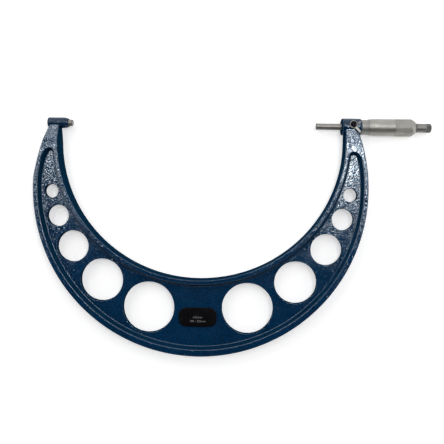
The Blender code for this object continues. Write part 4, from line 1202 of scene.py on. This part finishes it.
@dataclass(frozen=True)
class Thimble:
    """The thimble: bevelled front edge with its scale, barrel, knurled grip and soft end."""

    front: tuple[Corner, ...] = ((364.7, 9.5, 0.05), (364.7, 9.8, 0.05), (371.2, 10.3, 2.0),
                                 (377.7, 10.5, 1.5), (396.0, 10.5, 0.12), (396.1, 10.25, 0),
                                 (396.55, 10.25, 0))
    knurl_start: float = 396.7
    knurl_length: float = 19.0
    knurl_radius: float = 10.8
    knurl_depth: float = 0.3
    diamonds_round: int = 72
    diamonds_along: int = 20
    dome: tuple[Corner, ...] = ((416.6, 10.74, 0), (417.6, 10.42, 0), (418.7, 9.84, 0),
                                (419.7, 9.2, 0), (420.6, 8.55, 0), (421.4, 7.85, 0),
                                (422.1, 6.99, 0), (422.7, 6.2, 0.12), (423.0, 5.6, 0.12),
                                (423.0, 2.6, 0.1))
    inside: tuple[Corner, ...] = ((413.3, 2.6, 0), (413.3, 4.42, 0), (402.0, 5.43, 0),
                                  (402.0, 9.5, 0))
    divisions: int = 50
    line: float = 0.13 * MM
    short: float = 2.0 * MM
    long: float = 3.1 * MM
    number: float = 1.7 * MM
    number_back: float = 4.9 * MM

    def knurled(self, along: float, turn: float) -> float:
        """How deep the knurl is pressed in at a place, as a share of its full depth.

        Args:
            along: Diamonds along the grip from its start.
            turn: Diamonds round the grip.

        Returns:
            Zero on the diamonds' points and one in the grooves.
        """
        heights = [1 - abs(2 * (way % 1.0) - 1) for way in (turn + along, turn - along)]
        return 1 - min(heights)

    def shell(self) -> Mesh:
        """The thimble's body with its knurl pressed in."""
        rows = 4 * self.diamonds_along
        step = self.knurl_length / rows
        grip = [((self.knurl_start + step * row) * MM, self.knurl_radius * MM)
                for row in range(rows + 1)]
        line = soft_line(self.front) + grip + soft_line(self.dome + self.inside)
        bm = lathe(line, 4 * self.diamonds_round)
        for vert in bm.verts:
            row = (vert.co.x / MM - self.knurl_start) / self.knurl_length * self.diamonds_along
            outside = math.hypot(vert.co.y, vert.co.z) > (self.knurl_radius - 0.01) * MM
            if outside and -0.01 < row < self.diamonds_along + 0.01:
                turn = math.atan2(vert.co.y, vert.co.z) / FULL_TURN * self.diamonds_round
                share = 1 - self.knurl_depth * self.knurled(row, turn) / self.knurl_radius
                vert.co.y *= share
                vert.co.z *= share
        return bm

    def choose(self, face: bpy.types.MeshPolygon) -> int:
        """One on the knurl, which is painted paler, as painted light."""
        return int(0 < face.center.x / MM - self.knurl_start < self.knurl_length)

    def surface(self, x: float) -> float:
        """The bevel's radius at a place along the axis."""
        share = min(1.0, max(0.0, (x / MM - 364.7) / 6.5))
        return (9.8 + 0.5 * share) * MM

    def scale(self) -> Mesh:
        """Fifty divisions round the bevel, with a number on every fifth."""
        start = self.front[0][0] * MM
        marks = []
        for mark in range(self.divisions):
            angle = FULL_TURN * mark / self.divisions
            length = self.long if mark % 5 == 0 else self.short
            stroke = LETTERS.stroke(length, self.line)
            x = start + 0.1 * MM + length / 2
            marks.append(LETTERS.wrapped(stroke, x, angle, self.surface))
            if mark % 5 == 0:
                shape = LETTERS.words(str(mark), self.number)
                marks.append(LETTERS.wrapped(shape, start + self.number_back, angle, self.surface))
        return merged(marks)

    def build(self) -> None:
        """Build and dress the thimble and its scale."""
        finish_piece("thimble_barrel", self.shell(), SATIN, Body.THIMBLE, "thimble", (KNURL_PAINTED_LIGHT,),
                     self.choose)
        finish_piece("thimble_scale", self.scale(), BLACK_INK, Body.THIMBLE)


@dataclass(frozen=True)
class RatchetStop:
    """The ratchet's knob and the screw that keeps it on."""

    skirt: tuple[Corner, ...] = ((423.6, 4.9, 0.06), (423.6, 5.5, 0.18), (434.6, 5.55, 0.12),
                                 (434.75, 5.2, 0.05), (435.35, 5.2, 0.05), (435.5, 5.5, 0))
    band_start: float = 435.7
    band_length: float = 5.0
    band_rows: int = 6
    radius: float = 5.55
    ribs: int = 40
    rib_depth: float = 0.25
    end: tuple[Corner, ...] = ((441.0, 5.3, 0.1), (441.5, 4.75, 0.15), (441.5, 3.0, 0.15),
                               (438.4, 3.0, 0), (438.4, 2.2, 0), (437.0, 2.2, 0), (437.0, 4.9, 0))
    key: tuple[Point, Point, Point] = ((428.0, 437.2), (-0.7, 0.7), (4.0, 5.2))
    screw: tuple[Corner, ...] = ((433.0, 0, 0), (433.0, 1.0, 0), (439.0, 1.0, 0), (439.0, 2.6, 0),
                                 (440.8, 2.6, 0.25), (440.8, 0, 0))
    slot: tuple[Point, Point, Point] = ((440.0, 442.0), (-4.0, 4.0), (-0.35, 0.35))

    def knob(self) -> Mesh:
        """The knob with its ribs and the two keys that hold the crown."""
        step = self.band_length / self.band_rows
        band = [((self.band_start + step * row) * MM, self.radius * MM)
                for row in range(self.band_rows + 1)]
        bm = lathe(soft_line(self.skirt) + band + soft_line(self.end), 6 * self.ribs)
        for vert in bm.verts:
            x = vert.co.x / MM
            outside = math.hypot(vert.co.y, vert.co.z) > (self.radius - 0.01) * MM
            if outside and self.band_start - 0.01 < x < self.band_start + self.band_length + 0.01:
                turn = math.atan2(vert.co.y, vert.co.z) / FULL_TURN * self.ribs
                depth = abs(2 * (turn % 1.0) - 1) ** 2 * self.rib_depth
                share = 1 - depth / self.radius
                vert.co.y *= share
                vert.co.z *= share
        low, high = zip(*self.key)
        keys = [block([size * MM for size in low], [size * MM for size in high])
                for _ in range(2)]
        keys[1].transform(Matrix.Rotation(math.pi, 4, "X"))
        return combined(bm, keys, Operation.ADD)

    def choose(self, face: bpy.types.MeshPolygon) -> int:
        """One on the ribbed band, which is painted darker, as painted shade."""
        return int(0 < face.center.x / MM - self.band_start < self.band_length)

    def build(self) -> None:
        """Build and dress the knob and its screw."""
        finish_piece("ratchet_grip", self.knob(), GRIP, Body.RATCHET, "ratchet_knob", (RIBBED_SHADED,),
                     self.choose)
        low, high = zip(*self.slot)
        slot = block([size * MM for size in low], [size * MM for size in high])
        screw = combined(lathe(soft_line(self.screw), 72), [slot], Operation.CUT)
        finish_piece("ratchet_end_screw", screw, BLACK_TURNED, Body.RATCHET, "ratchet_screw")


@dataclass(frozen=True)
class SpindleLock:
    """The washer, lever and screw of the spindle lock, and the set screw beside it."""

    washer: tuple[Corner, ...] = ((11.4, 2.3, 0.03), (11.4, 4.2, 0.08), (11.8, 4.2, 0.08),
                                  (11.8, 2.3, 0.03))
    eye: float = 4.6 * MM
    bore: tuple[Corner, ...] = ((11.0, 0, 0), (11.0, 2.3, 0), (13.55, 2.3, 0), (13.55, 4.1, 0),
                                (15.0, 4.1, 0), (15.0, 0, 0))
    lever_low: float = 12.1 * MM
    lever_high: float = 13.7 * MM
    reach: float = 13.0 * MM
    width: float = 2.6 * MM
    angle: float = math.radians(-49)
    bevel: float = 0.3 * MM
    head: tuple[Corner, ...] = ((10.0, 0, 0), (10.0, 0.9, 0), (14.0, 0.9, 0), (14.0, 2.6, 0.08),
                                (15.2, 2.6, 0.3), (15.2, 0, 0))
    set_screw: tuple[Corner, ...] = ((6.8, 0, 0), (6.8, 1.9, 0.1), (9.8, 1.9, 0.2), (9.8, 0, 0))
    slot_width: float = 0.7 * MM
    slot_depth: float = 0.8 * MM

    def lever_outline(self) -> list[Point]:
        """The lever from above: a round eye with a straight arm and a round tip."""
        half = self.width / 2
        spread = math.asin(half / self.eye) + math.radians(4)
        points = []
        for step in range(73):
            angle = spread + (FULL_TURN - 2 * spread) * step / 72
            points.append((self.eye * math.cos(angle), self.eye * math.sin(angle)))
        for step in range(17):
            angle = -math.pi / 2 + math.pi * step / 16
            points.append((self.reach - half + half * math.cos(angle), half * math.sin(angle)))
        turn = Matrix.Rotation(self.angle, 2)
        return [tuple(Vector(LOCK_PLACE) + turn @ Vector(point)) for point in points]

    def slotted(self, line: tuple[Corner, ...], place: Point) -> Mesh:
        """An upright screw with a slot along X across its head.

        Args:
            line: The screw's profile.
            place: Where it stands.

        Returns:
            The screw.
        """
        top = line[-1][0] * MM
        reach = 4 * MM
        x, y = place
        slot = block((x - reach, y - self.slot_width / 2, top - self.slot_depth),
                     (x + reach, y + self.slot_width / 2, top + 1 * MM))
        return combined(upright(lathe(soft_line(line), 72), place), [slot], Operation.CUT)

    def choose(self, face: bpy.types.MeshPolygon) -> int:
        """One on the floor of the shallow recess in the lever's eye, which is black."""
        floor = self.bore[2][0] * MM
        return int(face.normal.z > 0.95 and abs(face.center.z - floor) < WELD)

    def build(self) -> None:
        """Build and dress the lock's pieces."""
        washer = upright(lathe(soft_line(self.washer), 96), LOCK_PLACE)
        finish_piece("lock_ring", washer, GROUND_FLAT, Body.FRAME, "lock_washer")
        arm = slab(self.lever_outline(), self.lever_low, self.lever_high, self.bevel)
        bore = upright(lathe(soft_line(self.bore), 72), LOCK_PLACE)
        finish_piece("lock_arm", combined(arm, [bore], Operation.CUT), SATIN_FLAT, Body.LOCK,
                     "lock_lever", (BLACK_FLAT,), self.choose)
        finish_piece("lock_head", self.slotted(self.head, LOCK_PLACE), BLACK_FLAT, Body.LOCK,
                     "lock_screw")
        finish_piece("set_screw", self.slotted(self.set_screw, SET_SCREW_PLACE), SCREW_FLAT,
                     Body.FRAME, "sleeve_set_screw")


@dataclass(frozen=True)
class RangePlate:
    """The plate on the web that gives the range and the reading, in plain numbers and units."""

    centre: Point = (158.095 * MM, -236.5 * MM)
    width: float = 46.5 * MM
    height: float = 23.6 * MM
    corner: float = 9.5 * MM
    low: float = 3.8 * MM
    high: float = 4.8 * MM
    bevel: float = 0.25 * MM
    lines: tuple[tuple[str, float], ...] = (("0.01mm", -0.2 * MM), ("300 - 325mm", -5.0 * MM))
    letter: float = 2.6 * MM

    def outline(self) -> list[Point]:
        """The plate from above."""
        points = []
        x, y = self.centre
        across, up = self.width / 2 - self.corner, self.height / 2 - self.corner
        for corner, (side_x, side_y) in enumerate(((1, 1), (-1, 1), (-1, -1), (1, -1))):
            for step in range(17):
                angle = math.pi / 2 * (corner + step / 16)
                points.append((x + side_x * across + self.corner * math.cos(angle),
                               y + side_y * up + self.corner * math.sin(angle)))
        return points

    def build(self) -> None:
        """Build and dress the plate and its lines of text."""
        finish_piece("plate", slab(self.outline(), self.low, self.high, self.bevel), LACQUER,
                     Body.FRAME, "range_plate")
        texts = []
        for text, drop in self.lines:
            shape = LETTERS.words(text, self.letter)
            place = (self.centre[0], self.centre[1] + drop, self.high)
            bmesh.ops.translate(shape, verts=shape.verts, vec=place)
            texts.append(shape)
        finish_piece("plate_text", merged(texts), PALE_INK, Body.FRAME)


# The studio


@dataclass(frozen=True)
class Lamp:
    """A soft box of even brightness."""

    name: str
    place: tuple[float, float, float]
    aim: tuple[float, float, float]
    size: Point
    radiance: float

    def build(self) -> None:
        """Hang the lamp."""
        data = bpy.data.lights.new(self.name, "AREA")
        data.shape = "RECTANGLE"
        data.size, data.size_y = self.size
        data.energy = self.radiance * math.pi * self.size[0] * self.size[1]
        lamp = bpy.data.objects.new(self.name, data)
        lamp.location = self.place
        way = Vector(self.aim) - Vector(self.place)
        lamp.rotation_euler = way.to_track_quat("-Z", "Y").to_euler()
        bpy.context.scene.collection.objects.link(lamp)


@dataclass(frozen=True)
class Studio:
    """Camera, lamps, surroundings and floor."""

    camera_place: tuple[float, float, float] = (0.2136, -0.092, 0.620)
    camera_turn: float = 0.0152
    lens: float = 40.7
    sensor: float = 36.0
    shift: Point = (-0.0511, -0.0495)
    world: float = 0.015
    wall_top: Point = (0.12, 0.35)
    floor_z: float = -0.01105
    floor_size: float = 3.0
    lamps: tuple[Lamp, ...] = (
        Lamp("lamp_right", (0.51, 0.05, 1.0), (0.34, -0.03, 0.0), (0.11, 0.18), 30.0),
        Lamp("lamp_right_high", (0.51, 0.37, 1.0), (0.34, -0.03, 0.0), (0.11, 0.30), 13.0),
        Lamp("lamp_left", (-0.33, 0.07, 1.0), (-0.02, -0.03, 0.0), (0.10, 0.20), 17.0),
        Lamp("lamp_left_high", (-0.35, 0.60, 1.0), (-0.02, -0.03, 0.0), (0.10, 0.36), 8.5),
        Lamp("lamp_far", (0.2, 1.45, 1.1), (0.2, -0.1, 0.0), (3.2, 1.8), 1.05),
        Lamp("lamp_side_left", (-1.3, -0.1, 0.8), (0.2, -0.1, 0.0), (1.0, 1.2), 1.8),
        Lamp("lamp_side_right", (1.7, -0.1, 0.8), (0.2, -0.1, 0.0), (1.0, 1.2), 1.8),
        Lamp("lamp_near", (0.2, -1.5, 0.8), (0.2, -0.1, 0.0), (2.4, 0.8), 0.25),
    )

    def build_camera(self) -> None:
        """Hang the camera over the bow, looking straight down."""
        data = bpy.data.cameras.new("camera")
        data.lens = self.lens
        data.sensor_width = self.sensor
        data.shift_x, data.shift_y = self.shift
        camera = bpy.data.objects.new("camera", data)
        camera.location = self.camera_place
        camera.rotation_euler = (0.0, 0.0, self.camera_turn)
        bpy.context.scene.collection.objects.link(camera)
        bpy.context.scene.camera = camera

    def build(self) -> None:
        """Build the surroundings, the lamps and the floor."""
        self.build_camera()
        world = bpy.data.worlds.new("surroundings")
        world.use_nodes = True
        bench = Bench(world.node_tree)
        shine = world.node_tree.nodes["Background"]
        shine.inputs["Color"].default_value = (1.0, 1.0, 1.0, 1.0)
        parts = bench.add("ShaderNodeSeparateXYZ")
        bench.feed(parts.inputs[0], bench.add("ShaderNodeTexCoord").outputs["Generated"])
        wall = bench.ramp(parts.outputs["Z"], *self.wall_top, 1.0, self.world)
        straight = bench.add("ShaderNodeLightPath").outputs["Is Camera Ray"]
        around = bench.math("MULTIPLY", bench.seen(), wall)
        strength = bench.math("MAXIMUM", straight, around)
        bench.feed(shine.inputs["Strength"], bench.math("MAXIMUM", strength, self.world))
        bpy.context.scene.world = world
        bpy.context.scene.view_settings.view_transform = "Standard"
        for lamp in self.lamps:
            lamp.build()
        bm = bmesh.new()
        bmesh.ops.create_grid(bm, x_segments=1, y_segments=1, size=self.floor_size / 2)
        bmesh.ops.translate(bm, verts=bm.verts, vec=(0.2, -0.14, self.floor_z))
        floor = new_object("floor", bm)
        floor.data.materials.append(FLOOR_PAPER.material())
        log.info("studio: camera, %d lamps and floor", len(self.lamps))


def main() -> None:
    """Build and dress every piece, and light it."""
    logging.basicConfig(level=logging.INFO, format="%(message)s")
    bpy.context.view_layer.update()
    Studio().build()
    for assembly in (Bow(), MeasuringFaces(), GraduatedSleeve(), Thimble(), RatchetStop(),
                     SpindleLock(), RangePlate()):
        assembly.build()
    for node in ("inner_sleeve", "lock_pin", "ratchet_base", "ratchet_crown", "ratchet_spring"):
        repaint(node, GROUND)
    for node in ("adjusting_nut", "lock_bush"):
        repaint(node, BRONZE)


if __name__ == "__main__":
    main()
